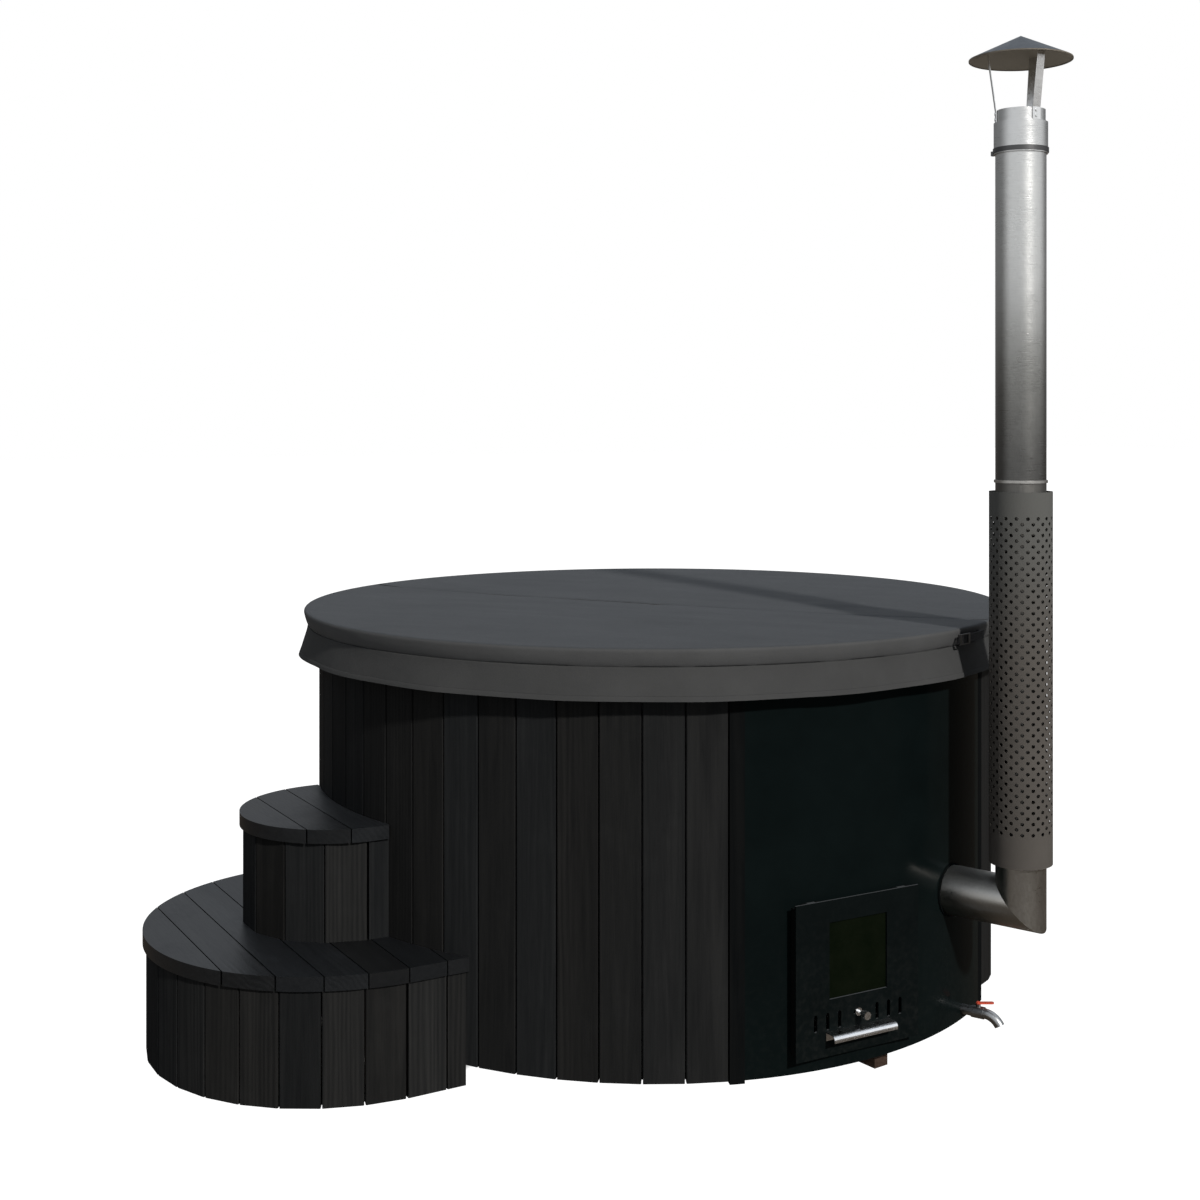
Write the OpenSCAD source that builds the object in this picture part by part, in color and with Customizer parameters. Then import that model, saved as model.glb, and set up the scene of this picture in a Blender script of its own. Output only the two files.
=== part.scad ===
// Wood-burning hot tub: a round black-stained tub with a built-in stove, an outside chimney,
// half-round steps and a folding insulated cover.
// The tub's axis is the Z axis, the floor is z = 0, and the stove door faces -Y.
// Angles round the tub are measured from the door, growing towards +X.

/* [Tub] */
// Outer diameter over the wall boards
tub_d = 2000; // [1700:10:2200]
// Height of the wall boards
wall_h = 985; // [900:5:1050]
// Thickness of the wall boards
board_t = 27; // [20:1:34]
// Number of wall boards between the two trims
board_count = 50; // [30:1:60]
// Open joint between two wall boards
board_gap = 4; // [2:0.5:6]
// Chamfer on the outer edges of a wall board
board_chamfer = 2; // [1:0.5:4]
// Wall thickness of the moulded liner
liner_t = 6; // [4:0.5:10]
// Depth of the whole wall, from the boards' outer face to the liner's inner face
wall_depth = 120; // [100:5:220]
// Room between the water jacket's back and the foot well's wall
well_room = 19; // [10:1:60]
// Room between the water jacket's top and the bench
bench_room = 14; // [10:1:60]
// Radius of the liner's inside corners
liner_fillet = 30; // [20:1:40]

/* [Base] */
// Width of a floor beam
beam_w = 46; // [38:1:60]
// Height of a floor beam
beam_h = 50; // [40:1:70]
// How far the middle beam ends inside the wall boards' outer face
beam_inset = 40; // [35:5:300]
// How far the other beams end inside the wall boards' outer face
side_beam_inset = 140; // [50:5:300]
// Turn of the beams from the door's direction
beam_turn = 7.3; // [0:0.1:15]
// Thickness of the base board
base_t = 18; // [12:1:25]
// Thickness of the insulation under the liner's floor
floor_foam_t = 30; // [20:1:40]

/* [Front panel] */
// Angle where the panel's left edge meets its trim
panel_from = -17.3; // [-18:0.1:-16]
// Angle where the panel's right edge meets its trim
panel_to = 33; // [32:0.1:36]
// Width of a trim as an angle
trim_turn = 2.3; // [2:0.1:3]
// How far the left trim reaches below the wall boards
trim_drop = 8; // [0:1:20]
// Thickness of the panel's sheet
panel_t = 2; // [1:0.5:4]

/* [Stove] */
// Width of the stove's water jacket
jacket_w = 470; // [440:5:480]
// Depth of the water jacket
jacket_d = 380; // [360:5:385]
// Height of the water jacket
jacket_h = 412; // [405:1:418]
// How far the jacket's front lies inside the wall boards' outer face
jacket_inset = 75; // [70:1:85]
// Sheet thickness of the jacket, firebox and smoke box
stove_t = 3; // [2:0.5:5]
// Water gap between the jacket and the firebox
water_gap = 27; // [20:1:30]
// Width of the fire door's opening
mouth_w = 300; // [260:2:310]
// Height of the fire door's opening
mouth_h = 304; // [280:2:310]

/* [Fire door] */
// Width of the door plate
door_w = 380; // [340:5:400]
// Height of the door plate
door_h = 385; // [370:5:390]
// Height of the door plate's lower edge above the floor beams
door_rise = 40; // [35:1:45]
// Thickness of the door plate
door_t = 5; // [4:0.5:8]
// How far the door's front face stands out past the panel
door_out = 18; // [15:1:30]
// Width of the window
window_w = 178; // [140:2:190]
// Height of the window
window_h = 190; // [150:2:200]
// Height of the window's lower edge above the door's lower edge
window_rise = 140; // [130:1:150]
// Number of air slots on each side of the knob
slot_count = 3; // [1:1:4]
// Width of an air slot
slot_w = 10; // [6:1:12]
// Height of an air slot
slot_h = 43; // [30:1:50]
// Distance between air slots
slot_pitch = 36.5; // [30:0.5:40]
// Distance from the knob to the nearest slot
slot_first = 58; // [50:1:60]
// Length of the curled handle
handle_w = 195; // [150:5:220]
// How far the curled handle reaches out from the door
handle_reach = 38; // [30:1:50]

/* [Chimney] */
// Distance of the flue's axis from the water jacket's side, at the smoke box
flue_beside = 94.65; // [80:0.05:110]
// Outer diameter of the flue pipe
flue_d = 130; // [100:1:140]
// Height of the level flue pipe's axis below the water jacket's top
flue_drop = 67; // [62:1:75]
// Clearance between the cover's edge and the heat shield
cover_clear = 78; // [60:1:180]
// Wall thickness of the flue pipes
flue_t = 2; // [1:0.5:3]
// Height of the elbow's upright arm above the level pipe's axis
elbow_rise = 117; // [109:1:147]
// Length of the lower pipe
lower_pipe_l = 975; // [800:5:1200]
// Length of the upper pipe
upper_pipe_l = 926; // [600:5:1200]
// Outer diameter of the heat shield
shield_d = 162; // [156:1:190]
// How far the heat shield reaches below the lower pipe
shield_drop = 10; // [0:1:15]
// Length of the heat shield
shield_l = 959; // [700:1:970]
// Diameter of the rain cap
cap_d = 266; // [220:2:300]
// Height of the rain cap's rim above the upper pipe's top
cap_lift = 165; // [140:1:200]
// Height of the rain cap's cone
cap_h = 61; // [40:1:80]

/* [Drain] */
// Angle of the drain round the tub
drain_turn = 25.8; // [25:0.1:27]
// Outer diameter of the drain pipe
drain_d = 27; // [22:1:30]
// Height of the drain pipe's axis below the foot well's floor
drain_drop = 27; // [25:0.5:29]
// Downward turn of the spout
spout_turn = 60; // [30:5:90]

/* [Steps] */
// Angle of the steps round the tub
steps_turn = -89; // [-100:1:-60]
// Radius of the lower step's side
lower_r = 513; // [420:1:560]
// Radius of the upper step's side
upper_r = 265; // [220:1:320]
// Height of the lower tread's top
lower_z = 322; // [280:1:360]
// Height of the upper tread's top
upper_z = 614; // [560:1:680]
// Thickness of a tread board
tread_t = 36; // [24:1:40]
// Distance between two tread seams
tread_pitch = 100.5; // [80:0.5:120]
// How far a tread stands out past the side boards
nosing = 8; // [4:1:20]
// Thickness of a side board
side_t = 20; // [16:1:27]

/* [Cover] */
// Angle of the cover's fold round the tub
fold_turn = 32.7; // [30:0.1:40]
// How far the cover's top edge reaches past the wall boards
cover_over = 42; // [41:1:50]
// Thickness of the cover
cover_t = 74; // [60:1:90]
// Height of the side band above the skirt's seam
band_h = 47; // [40:1:52]
// Height of the skirt
skirt_h = 80; // [60:1:100]
// How far the skirt's hem stands out past its seam
skirt_flare = 26; // [10:1:30]
// How deep the cover sags along its fold
cover_sag = 10; // [0:1:14]

/* [Hidden] */
$fn = 120;

// Clearance between pieces that fit together
fit = 0.25;
// How far a cutting shape runs past what it cuts
cut = 5;

full_turn = 360;
tub_r = tub_d / 2;
wall_top = beam_h + wall_h;
rim_z = wall_top + liner_t;
base_top = beam_h + base_t;
well_z = base_top + floor_foam_t + liner_t;
boards_from = panel_to + trim_turn;
boards_to = panel_from - trim_turn + full_turn;
board_pitch = (boards_to - boards_from) / board_count;
board_inner_r = tub_r * cos(board_pitch / 2) - board_t;

// The stove stands under the bench, and the liner is built round it
jacket_front = tub_r - jacket_inset;
jacket_back = jacket_front - jacket_d;
jacket_top = base_top + jacket_h;
bath_r = tub_r - wall_depth;
well_r = jacket_back - well_room - liner_t;
bench_z = jacket_top + bench_room + liner_t;
door_z = beam_h + door_rise;
door_front = tub_r + door_out;
drain_z = well_z - drain_drop;
cover_r = tub_r + cover_over;

// Smoke box beside the stove, square to the flue
smoke_inset = 120;
smoke_r = tub_r - smoke_inset;
smoke_w = 164;
smoke_d = 250;
smoke_h = 146;
flue_turn = asin((jacket_w / 2 + flue_beside) / smoke_r);
flue_z = jacket_top - flue_drop;
flue_out = cover_r + cover_clear + shield_d / 2;
elbow_top = flue_z + elbow_rise;
pipe_joint_z = elbow_top + lower_pipe_l;
pipe_top_z = pipe_joint_z + upper_pipe_l;
shield_from = elbow_top - shield_drop;
shield_to = shield_from + shield_l;

// Hoops that the wall boards are screwed to
hoop_t = 4;
hoop_h = 40;
hoop_height_shares = [0.17, 0.79];
foam_outer_r = board_inner_r - hoop_t - 2 * fit;

// Beams on both sides of the middle one
beam_place_shares = [-0.72, -0.38, 0, 0.38, 0.72];

// Bench supports
rib_t = 18;
rib_first = 60;
rib_step = 30;
rib_count = 10;
rib_inset = 4;

wood = [0.11, 0.11, 0.115];
raw_wood = [0.55, 0.47, 0.40];
steel = [0.72, 0.72, 0.71];
dark_steel = [0.10, 0.11, 0.11];
cast = [0.16, 0.16, 0.17];
foam = [0.07, 0.07, 0.08];
moulding = [0.80, 0.82, 0.83];
cloth = [0.27, 0.28, 0.29];

// Turns what is drawn facing -Y to an angle round the tub
module around(angle) rotate([0, 0, angle]) children();

// Revolves a profile of radii and heights from one angle round the tub to another
module sector(from, to) rotate([0, 0, from - 90]) rotate_extrude(angle = to - from) children();

// A rectangle of a profile, from one radius and height to another
module profile_box(r1, r2, z1, z2) translate([r1, z1]) square([r2 - r1, z2 - z1]);

module tube(r_in, r_out, h) difference() {
    cylinder(r = r_out, h = h);
    translate([0, 0, -cut]) cylinder(r = r_in, h = h + 2 * cut);
}

// A box centred on x = 0
module centred_box(w, y1, y2, z1, z2) translate([-w / 2, y1, z1]) cube([w, y2 - y1, z2 - z1]);

// A radial cylinder that points away from the tub's axis, from one distance to another
module radial(r, from, to, z) translate([0, -from, z]) rotate([90, 0, 0]) cylinder(r = r, h = to - from);

// Points of an arc about a centre
function arc(cx, cy, r, a1, a2, n) = [for (i = [0:n]) let (a = a1 + (a2 - a1) * i / n)
    [cx + r * cos(a), cy + r * sin(a)]];
function reversed(list) = [for (i = [len(list) - 1:-1:0]) list[i]];

module base_beams() color(raw_wood) around(beam_turn) for (share = beam_place_shares) {
    place = share * tub_r;
    reach = tub_r - side_beam_inset;
    half = share == 0 ? tub_r - beam_inset : sqrt(pow(reach, 2) - pow(abs(place) + beam_w / 2, 2));
    translate([place - beam_w / 2, -half, 0]) cube([beam_w, 2 * half, beam_h]);
}

// The groove that the drain pipe runs in
module drain_groove(z1, z2) around(drain_turn)
    centred_box(drain_d + 4 * fit, -tub_r, -drain_in + drain_d / 2 + 2 * fit, z1, z2);

module base_board() color(raw_wood) difference() {
    translate([0, 0, beam_h]) cylinder(r = board_inner_r - fit, h = base_t);
    drain_groove(beam_h - cut, base_top + cut);
}

module floor_insulation() color(foam) difference() {
    translate([0, 0, base_top]) cylinder(r = well_r + liner_t - liner_fillet, h = floor_foam_t);
    drain_groove(base_top - cut, base_top + floor_foam_t + cut);
}

// One flat wall board with chamfered outer edges, seen from above
module board_outline(r, pitch, t) {
    half = pitch / 2;
    face = r * cos(half);
    x = r * sin(half) - board_gap / 2;
    back = x - t * tan(half);
    c = board_chamfer;
    polygon([[-x, c - face], [c - x, -face], [x - c, -face], [x, c - face],
        [back, t - face], [-back, t - face]]);
}

// The slanted cut in the wall boards beside the drain valve
notch_h = 41;
notch_w = 235;
module valve_notch() around(boards_from) translate([0, -tub_r - cut, 0]) rotate([-90, 0, 0])
    linear_extrude(height = board_t + 4 * cut) polygon([[-cut, -beam_h - notch_h],
        [0, -beam_h - notch_h], [notch_w, -beam_h + cut / 2], [notch_w, cut], [-cut, cut]]);

module wall_boards() color(wood) difference() {
    for (i = [0:board_count - 1]) around(boards_from + (i + 0.5) * board_pitch)
        translate([0, 0, beam_h]) linear_extrude(height = wall_h) board_outline(tub_r, board_pitch, board_t);
    valve_notch();
}

module wall_hoops() color(steel) for (share = hoop_height_shares)
    sector(boards_from, boards_to) translate([board_inner_r - fit - hoop_t, beam_h + share * wall_h])
        square([hoop_t, hoop_h]);

module wall_insulation() color(foam) {
    inner = bath_r + liner_t + fit;
    low = bench_z + liner_fillet;
    high = wall_top - fit;
    membrane = foam_outer_r - hoop_t;
    behind_panel = tub_r - panel_t - fit;
    rim_side = [[inner + liner_fillet, high], [inner, high - liner_fillet], [inner, low]];
    sector(boards_from, boards_to) polygon(concat([[membrane, base_top], [foam_outer_r, base_top],
        [foam_outer_r, high]], rim_side, [[membrane, low]]));
    sector(panel_from + trim_turn / 2, panel_to - trim_turn / 2)
        polygon(concat([[behind_panel, low], [behind_panel, high]], rim_side));
}

// The liner's inner line, or the line a distance outside it
function liner_line(o) = let (f = liner_fillet) concat(
    [[0, well_z - o]],
    arc(well_r - f, well_z + f, f + o, -90, 0, 4),
    arc(well_r + f, bench_z - f, f - o, 180, 90, 4),
    arc(bath_r - f, bench_z + f, f + o, -90, 0, 4),
    arc(bath_r + f, rim_z - f, f - o, 180, 90, 4),
    [[tub_r, rim_z - o]]);

// The liner between two heights
module liner_part(from, to) rotate_extrude() intersection() {
    polygon(concat(liner_line(0), reversed(liner_line(liner_t))));
    translate([0, from]) square([tub_r, to - from]);
}

// The upper wall with its rim
module liner() color(moulding) liner_part(bench_z + liner_fillet, rim_z);

// The bench with the rounded corners at both its edges
module liner_bench() color(moulding) liner_part(bench_z - liner_fillet, bench_z + liner_fillet);

// The foot well with its floor
module liner_well() color(moulding) difference() {
    liner_part(base_top, bench_z - liner_fillet);
    around(drain_turn) translate([0, -drain_in, base_top]) cylinder(r = drain_d / 2 + 2 * fit, h = well_z);
    sector(-port_turn, port_turn)
        profile_box(well_r - cut, well_r + liner_t + cut, port_from, bench_z - liner_fillet + cut);
}

// The foot well's wall around the water ports
module liner_ports() color(moulding) difference() {
    sector(-port_turn, port_turn)
        profile_box(well_r, well_r + liner_t, port_from, bench_z - liner_fillet);
    for (place = port_places) translate([place, 0, port_z])
        rotate([90, 0, 0]) cylinder(r = port_r + fit, h = well_r + liner_t + cut);
}

module bench_supports() color(raw_wood) for (i = [0:rib_count - 1]) around(rib_first + i * rib_step) {
    outer = foam_outer_r - hoop_t - rib_inset;
    inner = well_r + liner_t + rib_inset;
    top = bench_z - liner_t;
    translate([-rib_t / 2, 0, 0]) rotate([90, 0, 90]) linear_extrude(height = rib_t) polygon([
        [-outer, base_top], [-inner, base_top], [-inner, bench_z - liner_fillet],
        [-well_r - liner_fillet, top], [-outer, top]]);
}

module front_panel() color(dark_steel) difference() {
    sector(panel_from, panel_to) profile_box(tub_r - panel_t, tub_r, beam_h, wall_top);
    centred_box(frame_w + 2 * fit, -tub_r - cut, -jacket_front, frame_z - fit, frame_z + frame_h + fit);
    around(flue_turn) radial(flue_d / 2 + seal_w, jacket_front, tub_r + cut, flue_z);
    around(drain_turn) radial(drain_d / 2 + fit, jacket_front, tub_r + cut, drain_z);
}

module panel_trims() color(wood) {
    gap = asin(board_gap / 2 / tub_r);
    sector(panel_from - trim_turn + gap, panel_from)
        profile_box(tub_r - board_t, tub_r, beam_h - trim_drop, wall_top);
    sector(panel_to, boards_from - gap) profile_box(tub_r - board_t, tub_r, beam_h, wall_top);
}

// Stove, which stands on the base board under the bench
fire_w = jacket_w - 2 * stove_t - 2 * water_gap;
fire_from = base_top + stove_t + water_gap;
fire_to = jacket_top - stove_t - water_gap;
fire_back = jacket_back + stove_t + water_gap;
fire_front = jacket_front - stove_t;
mouth_inset = 30;
mouth_z = fire_from + mouth_inset;
ledge_w = 16;
ledge_t = 4;
grate_t = 12;
grate_rise = 88;
grate_z = fire_from + grate_rise;
grate_bar = 14;
grate_gap = 12;
grate_margin = 24;
pan_w = 300;
pan_h = 46;
pan_t = 2;
pan_inset = 24;
baffle_t = 6;
baffle_drop = 96;
baffle_d = 220;
duct_w = 100;
duct_h = 70;
duct_back = 227;
duct_z = fire_to - stove_t - duct_h - 12 * fit;

// The smoke duct through both walls of the stove, made larger or smaller all round
module duct_hole(grow) translate([fire_w / 2 - stove_t - cut,
    -jacket_front + duct_back - grow, duct_z - grow])
        cube([water_gap + 3 * stove_t + 2 * cut, duct_w + 2 * grow, duct_h + 2 * grow]);

// The water jacket without its back
module heater_jacket() color(steel) difference() {
    centred_box(jacket_w, -jacket_front, -jacket_back - stove_t, base_top, jacket_top);
    centred_box(jacket_w - 2 * stove_t, -jacket_front + stove_t, -jacket_back - stove_t + cut,
        base_top + stove_t, jacket_top - stove_t);
    centred_box(mouth_w, -jacket_front - cut, -jacket_front + stove_t + cut, mouth_z, mouth_z + mouth_h);
    duct_hole(fit);
}

module heater_back() color(steel) difference() {
    centred_box(jacket_w, -jacket_back - stove_t, -jacket_back, base_top, jacket_top);
    for (place = port_places) translate([place, -jacket_back + cut, port_z])
        rotate([90, 0, 0]) cylinder(r = port_r + fit, h = stove_t + 2 * cut);
}

module firebox() color(dark_steel) {
    inner = fire_w - 2 * stove_t;
    difference() {
        centred_box(fire_w, -fire_front, -fire_back, fire_from, fire_to);
        centred_box(inner, -fire_front - cut, -fire_back - stove_t, fire_from + stove_t, fire_to - stove_t);
        duct_hole(fit);
    }
    for (side = [-1, 1]) for (z = [grate_z, fire_to - baffle_drop])
        translate([side * (inner - ledge_w) / 2, 0, 0])
            centred_box(ledge_w, -fire_front + ledge_w, -fire_back - stove_t, z - ledge_t, z);
}

module fire_grate() color(cast) {
    w = fire_w - 2 * stove_t - 2 * fit;
    front = fire_front - ledge_w;
    back = fire_back + stove_t + fit;
    bars = floor((w - 2 * grate_margin) / (grate_bar + grate_gap));
    difference() {
        centred_box(w, -front, -back, grate_z, grate_z + grate_t);
        for (i = [0:bars - 1]) translate([(i - (bars - 1) / 2) * (grate_bar + grate_gap), 0, 0])
            centred_box(grate_gap, -front + grate_margin, -back - grate_margin,
                grate_z - cut, grate_z + grate_t + cut);
    }
}

module ash_pan() color(steel) difference() {
    front = fire_front - pan_inset;
    back = fire_back + stove_t + pan_inset;
    bottom = fire_from + stove_t;
    centred_box(pan_w, -front, -back, bottom, bottom + pan_h);
    centred_box(pan_w - 2 * pan_t, -front + pan_t, -back - pan_t, bottom + pan_t, bottom + pan_h + cut);
}

module flame_baffle() color(cast) centred_box(fire_w - 2 * stove_t - 2 * fit, -fire_back - baffle_d,
    -fire_back - stove_t - fit, fire_to - baffle_drop, fire_to - baffle_drop + baffle_t);

// The smoke box's form, made smaller all round
module smoke_shape(inset) intersection() {
    around(flue_turn) centred_box(smoke_w - 2 * inset, -smoke_r + inset, -smoke_r + smoke_d - inset,
        flue_z - smoke_h / 2 + inset, flue_z + smoke_h / 2 - inset);
    translate([jacket_w / 2 + fit + inset, -tub_r, 0]) cube([tub_r, tub_r, wall_top]);
}

module smoke_box() color(steel) difference() {
    union() {
        smoke_shape(0);
        intersection() {
            duct_hole(0);
            translate([fire_w / 2 - stove_t, -tub_r, 0]) cube([tub_r, tub_r, wall_top]);
            translate([0, -tub_r, 0]) cube([jacket_w / 2 + fit + stove_t, tub_r, wall_top]);
        }
    }
    smoke_shape(stove_t);
    duct_hole(-stove_t);
    around(flue_turn) radial(flue_d / 2 - flue_t + fit, smoke_r - smoke_d / 2, smoke_r + cut, flue_z);
}

// Water ports between the jacket and the foot well
port_places = [-150, 150];
port_r = 25;
port_t = 2;
port_z = 200;
port_flange_r = 36;
port_flange_t = 3;
port_margin = 20;
// The wall piece that carries the ports: its lower edge and half its angle
port_from = port_z - port_flange_r - port_margin;
port_turn = asin((max(port_places) + port_flange_r + port_margin) / well_r);
module water_ports() color(steel) for (place = port_places) {
    wall = sqrt(pow(well_r, 2) - pow(abs(place) + port_flange_r, 2));
    translate([place, -wall + port_flange_t, port_z]) rotate([90, 0, 0]) {
        tube(port_r - port_t, port_r, jacket_back + stove_t - wall + port_flange_t);
        tube(port_r - port_t, port_flange_r, port_flange_t);
    }
}

// Fire door
frame_inset = 10;
frame_rise = 9;
frame_drop = 14;
frame_w = door_w - 2 * frame_inset;
frame_z = door_z + frame_rise;
frame_h = door_h - frame_rise - frame_drop;
gasket_t = 9;
frame_front = door_front - door_t - gasket_t - fit;
gasket_w = 10;
gasket_inset = 8;
pin_r = 3;
pin_clearance = 0.08;
knuckle_r = 6;
knuckle_w = 24;
knuckle_side = 14;
hinge_place = 140;
knuckle_gap = 0.35;
door_back = door_front - door_t;
hinge_y = door_back - knuckle_r - knuckle_gap;
hinge_z = door_z + door_h - knuckle_r;
glass_t = 4;
glass_lap = 11;
clip_w = 26;
clip_l = 20;
clip_t = 1.5;
clip_shares = [0.2, 0.8];
slot_rise = 65;
slot_z = door_z + slot_rise;
slide_t = 2;
slide_lap = 10;
slide_travel = 20;
guide_t = 2;
guide_w = 12;
knob_r = 10;
knob_head = 16;
knob_reach = 38;
knob_stem_r = 4;
knob_rise = 30;
knob_z = slot_z + knob_rise;
handle_t = 2;
handle_rise = 62;
handle_z = door_z + handle_rise;
handle_tab = 22;
handle_curl_r = 12;
handle_lip = 5;
handle_shift = -3;
rivet_r = 4;
rivet_h = 2;

module door_frame() color(dark_steel) {
    difference() {
        centred_box(frame_w, -frame_front, -jacket_front, frame_z, frame_z + frame_h);
        centred_box(mouth_w, -frame_front - cut, -jacket_front + cut, mouth_z, mouth_z + mouth_h);
    }
    for (side = [-1, 1]) for (end = [-1, 1])
        translate([side * hinge_place + end * (knuckle_w + knuckle_side + 2 * fit) / 2, 0, 0]) difference() {
            union() {
                translate([-knuckle_side / 2, -hinge_y, hinge_z]) rotate([0, 90, 0])
                    cylinder(r = knuckle_r, h = knuckle_side);
                centred_box(knuckle_side, -hinge_y, -hinge_y + 2 * knuckle_r, frame_z + frame_h, hinge_z);
            }
            translate([-knuckle_side, -hinge_y, hinge_z]) rotate([0, 90, 0])
                cylinder(r = pin_r, h = 2 * knuckle_side);
        }
}

// The air slots, the same in the door and in its slide
module air_slots(y1, y2) for (side = [-1, 1]) for (i = [0:slot_count - 1])
    translate([side * (slot_first + i * slot_pitch), y1, slot_z + slot_w / 2]) {
        translate([-slot_w / 2, 0, 0]) cube([slot_w, y2 - y1, slot_h - slot_w]);
        for (z = [0, slot_h - slot_w]) translate([0, 0, z])
            rotate([-90, 0, 0]) cylinder(d = slot_w, h = y2 - y1);
    }

module door_plate() color(dark_steel) {
    difference() {
        centred_box(door_w, -door_front, -door_back, door_z, door_z + door_h);
        centred_box(window_w, -door_front - cut, -door_back + cut, door_z + window_rise,
            door_z + window_rise + window_h);
        air_slots(-door_front - cut, -door_back + cut);
        centred_box(slide_travel + 2 * knob_stem_r + 4 * fit, -door_front - cut, -door_back + cut,
            knob_z - knob_stem_r - 2 * fit, knob_z + knob_stem_r + 2 * fit);
    }
    for (side = [-1, 1]) translate([side * hinge_place, 0, 0]) difference() {
        union() {
            translate([-knuckle_w / 2, -hinge_y, hinge_z]) rotate([0, 90, 0])
                cylinder(r = knuckle_r, h = knuckle_w);
            centred_box(knuckle_w, -door_back, -hinge_y, hinge_z - knuckle_r, hinge_z + knuckle_r);
        }
        translate([-knuckle_w, -hinge_y, hinge_z]) rotate([0, 90, 0])
            cylinder(r = pin_r + pin_clearance, h = 2 * knuckle_w);
    }
}

module door_glass() color([0.10, 0.16, 0.12, 0.6]) centred_box(window_w + 2 * glass_lap, -door_back,
    -door_back + glass_t, door_z + window_rise - glass_lap, door_z + window_rise + window_h + glass_lap);

module glass_clips() color(steel) for (side = [-1, 1]) for (z = clip_shares)
    translate([side * (window_w / 2 + glass_lap), 0, door_z + window_rise + z * window_h - clip_w / 2]) {
        translate([-clip_l / 2, -door_back + glass_t, 0]) cube([clip_l, clip_t, clip_w]);
        translate([side > 0 ? fit : -clip_l / 2, -door_back, 0]) cube([clip_l / 2 - fit, glass_t, clip_w]);
    }

module door_gasket() color(cast) {
    w = mouth_w + 2 * gasket_inset + 2 * gasket_w;
    z = mouth_z - gasket_inset - gasket_w;
    h = mouth_h + 2 * gasket_inset + 2 * gasket_w;
    difference() {
        centred_box(w, -door_back, -door_back + gasket_t, z, z + h);
        centred_box(w - 2 * gasket_w, -door_back - cut, -door_back + gasket_t + cut,
            z + gasket_w, z + h - gasket_w);
    }
}

module door_hinge_pins() color(steel) {
    length = knuckle_w + 2 * knuckle_side + 4 * fit;
    for (side = [-1, 1]) translate([side * hinge_place - length / 2, -hinge_y, hinge_z])
        rotate([0, 90, 0]) cylinder(r = pin_r, h = length);
}

module door_handle() color(steel) translate([handle_shift - handle_w / 2, -door_front, handle_z])
    rotate([90, 0, 90]) linear_extrude(height = handle_w) polygon(concat(
        [[0, -handle_tab], [0, 0]],
        arc(handle_curl_r - handle_reach, -handle_curl_r, handle_curl_r, 90, 180, 6),
        [[-handle_reach, -handle_curl_r - handle_lip],
            [handle_t - handle_reach, -handle_curl_r - handle_lip]],
        reversed(arc(handle_curl_r - handle_reach, -handle_curl_r, handle_curl_r - handle_t, 90, 180, 6)),
        [[-handle_t, -handle_t], [-handle_t, -handle_tab]]));

slide_w = 2 * (slot_first + (slot_count - 1) * slot_pitch) + slot_w + 2 * slide_lap;
module air_slide() color(steel) difference() {
    centred_box(slide_w, -door_back, -door_back + slide_t, slot_z - slide_lap, slot_z + slot_h + slide_lap);
    air_slots(-door_back - cut, -door_back + slide_t + cut);
    translate([0, -door_back - cut, knob_z]) rotate([-90, 0, 0])
        cylinder(r = knob_stem_r - fit, h = slide_t + 2 * cut);
}

module air_knob() color(steel) translate([0, -door_back + slide_t, knob_z]) rotate([90, 0, 0]) {
    cylinder(r = knob_stem_r - fit, h = slide_t);
    translate([0, 0, slide_t]) cylinder(r = knob_stem_r, h = door_t + knob_reach - knob_head);
    translate([0, 0, slide_t + door_t + knob_reach - knob_head]) cylinder(r = knob_r, h = knob_head);
    translate([0, 0, slide_t + door_t + fit]) cylinder(r = knob_r, h = slide_t);
}

module slide_guides() color(steel) for (side = [-1, 1]) {
    z = side < 0 ? slot_z - slide_lap - guide_w / 2 : slot_z + slot_h + slide_lap + fit;
    centred_box(slide_w, -door_back, -door_back + slide_t + fit, z, z + guide_w / 2 - fit);
    translate([0, 0, side < 0 ? z : z - guide_w / 2 - fit])
        centred_box(slide_w, -door_back + slide_t + fit, -door_back + slide_t + fit + guide_t, 0, guide_w);
}

// Flue and chimney
flue_r = flue_d / 2;
seal_w = 5;
seal_d = 18;
spigot_l = 60;
stub_out = 60;
stub_inset = 8;
seal_out = 3;
band_l = 7;
band_t = 3.5;
module flue_stub() color(steel) around(flue_turn) translate([0, stub_inset - smoke_r, flue_z])
    rotate([90, 0, 0])
        tube(flue_r - 2 * flue_t - fit, flue_r - flue_t - fit, tub_r + stub_out - smoke_r + stub_inset);

module flue_seal() color(cast) around(flue_turn) translate([0, seal_d - tub_r - seal_out, flue_z])
    rotate([90, 0, 0]) tube(flue_r + fit, flue_r + seal_w - fit, seal_d);

elbow_inset = 25;
elbow_from = tub_r - elbow_inset;
module elbow_bore(r, past) {
    reach = flue_out + 2 * flue_d;
    intersection() {
        radial(r, elbow_from - past, reach, flue_z);
        translate([-flue_d, -flue_out, flue_z]) rotate([45, 0, 0])
            translate([0, -reach, -2 * reach]) cube([2 * flue_d, 2 * reach, 2 * reach]);
    }
    intersection() {
        translate([0, -flue_out, flue_z - flue_d]) cylinder(r = r, h = elbow_top - flue_z + flue_d + past);
        translate([-flue_d, -flue_out, flue_z]) rotate([45, 0, 0])
            translate([0, -reach, 0]) cube([2 * flue_d, 2 * reach, 2 * reach]);
    }
}
module flue_elbow() color(steel) around(flue_turn) difference() {
    elbow_bore(flue_r, 0);
    elbow_bore(flue_r - flue_t, cut);
}

// Places a child on the chimney's axis
module on_chimney(z) around(flue_turn) translate([0, -flue_out, z]) children();

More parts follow.
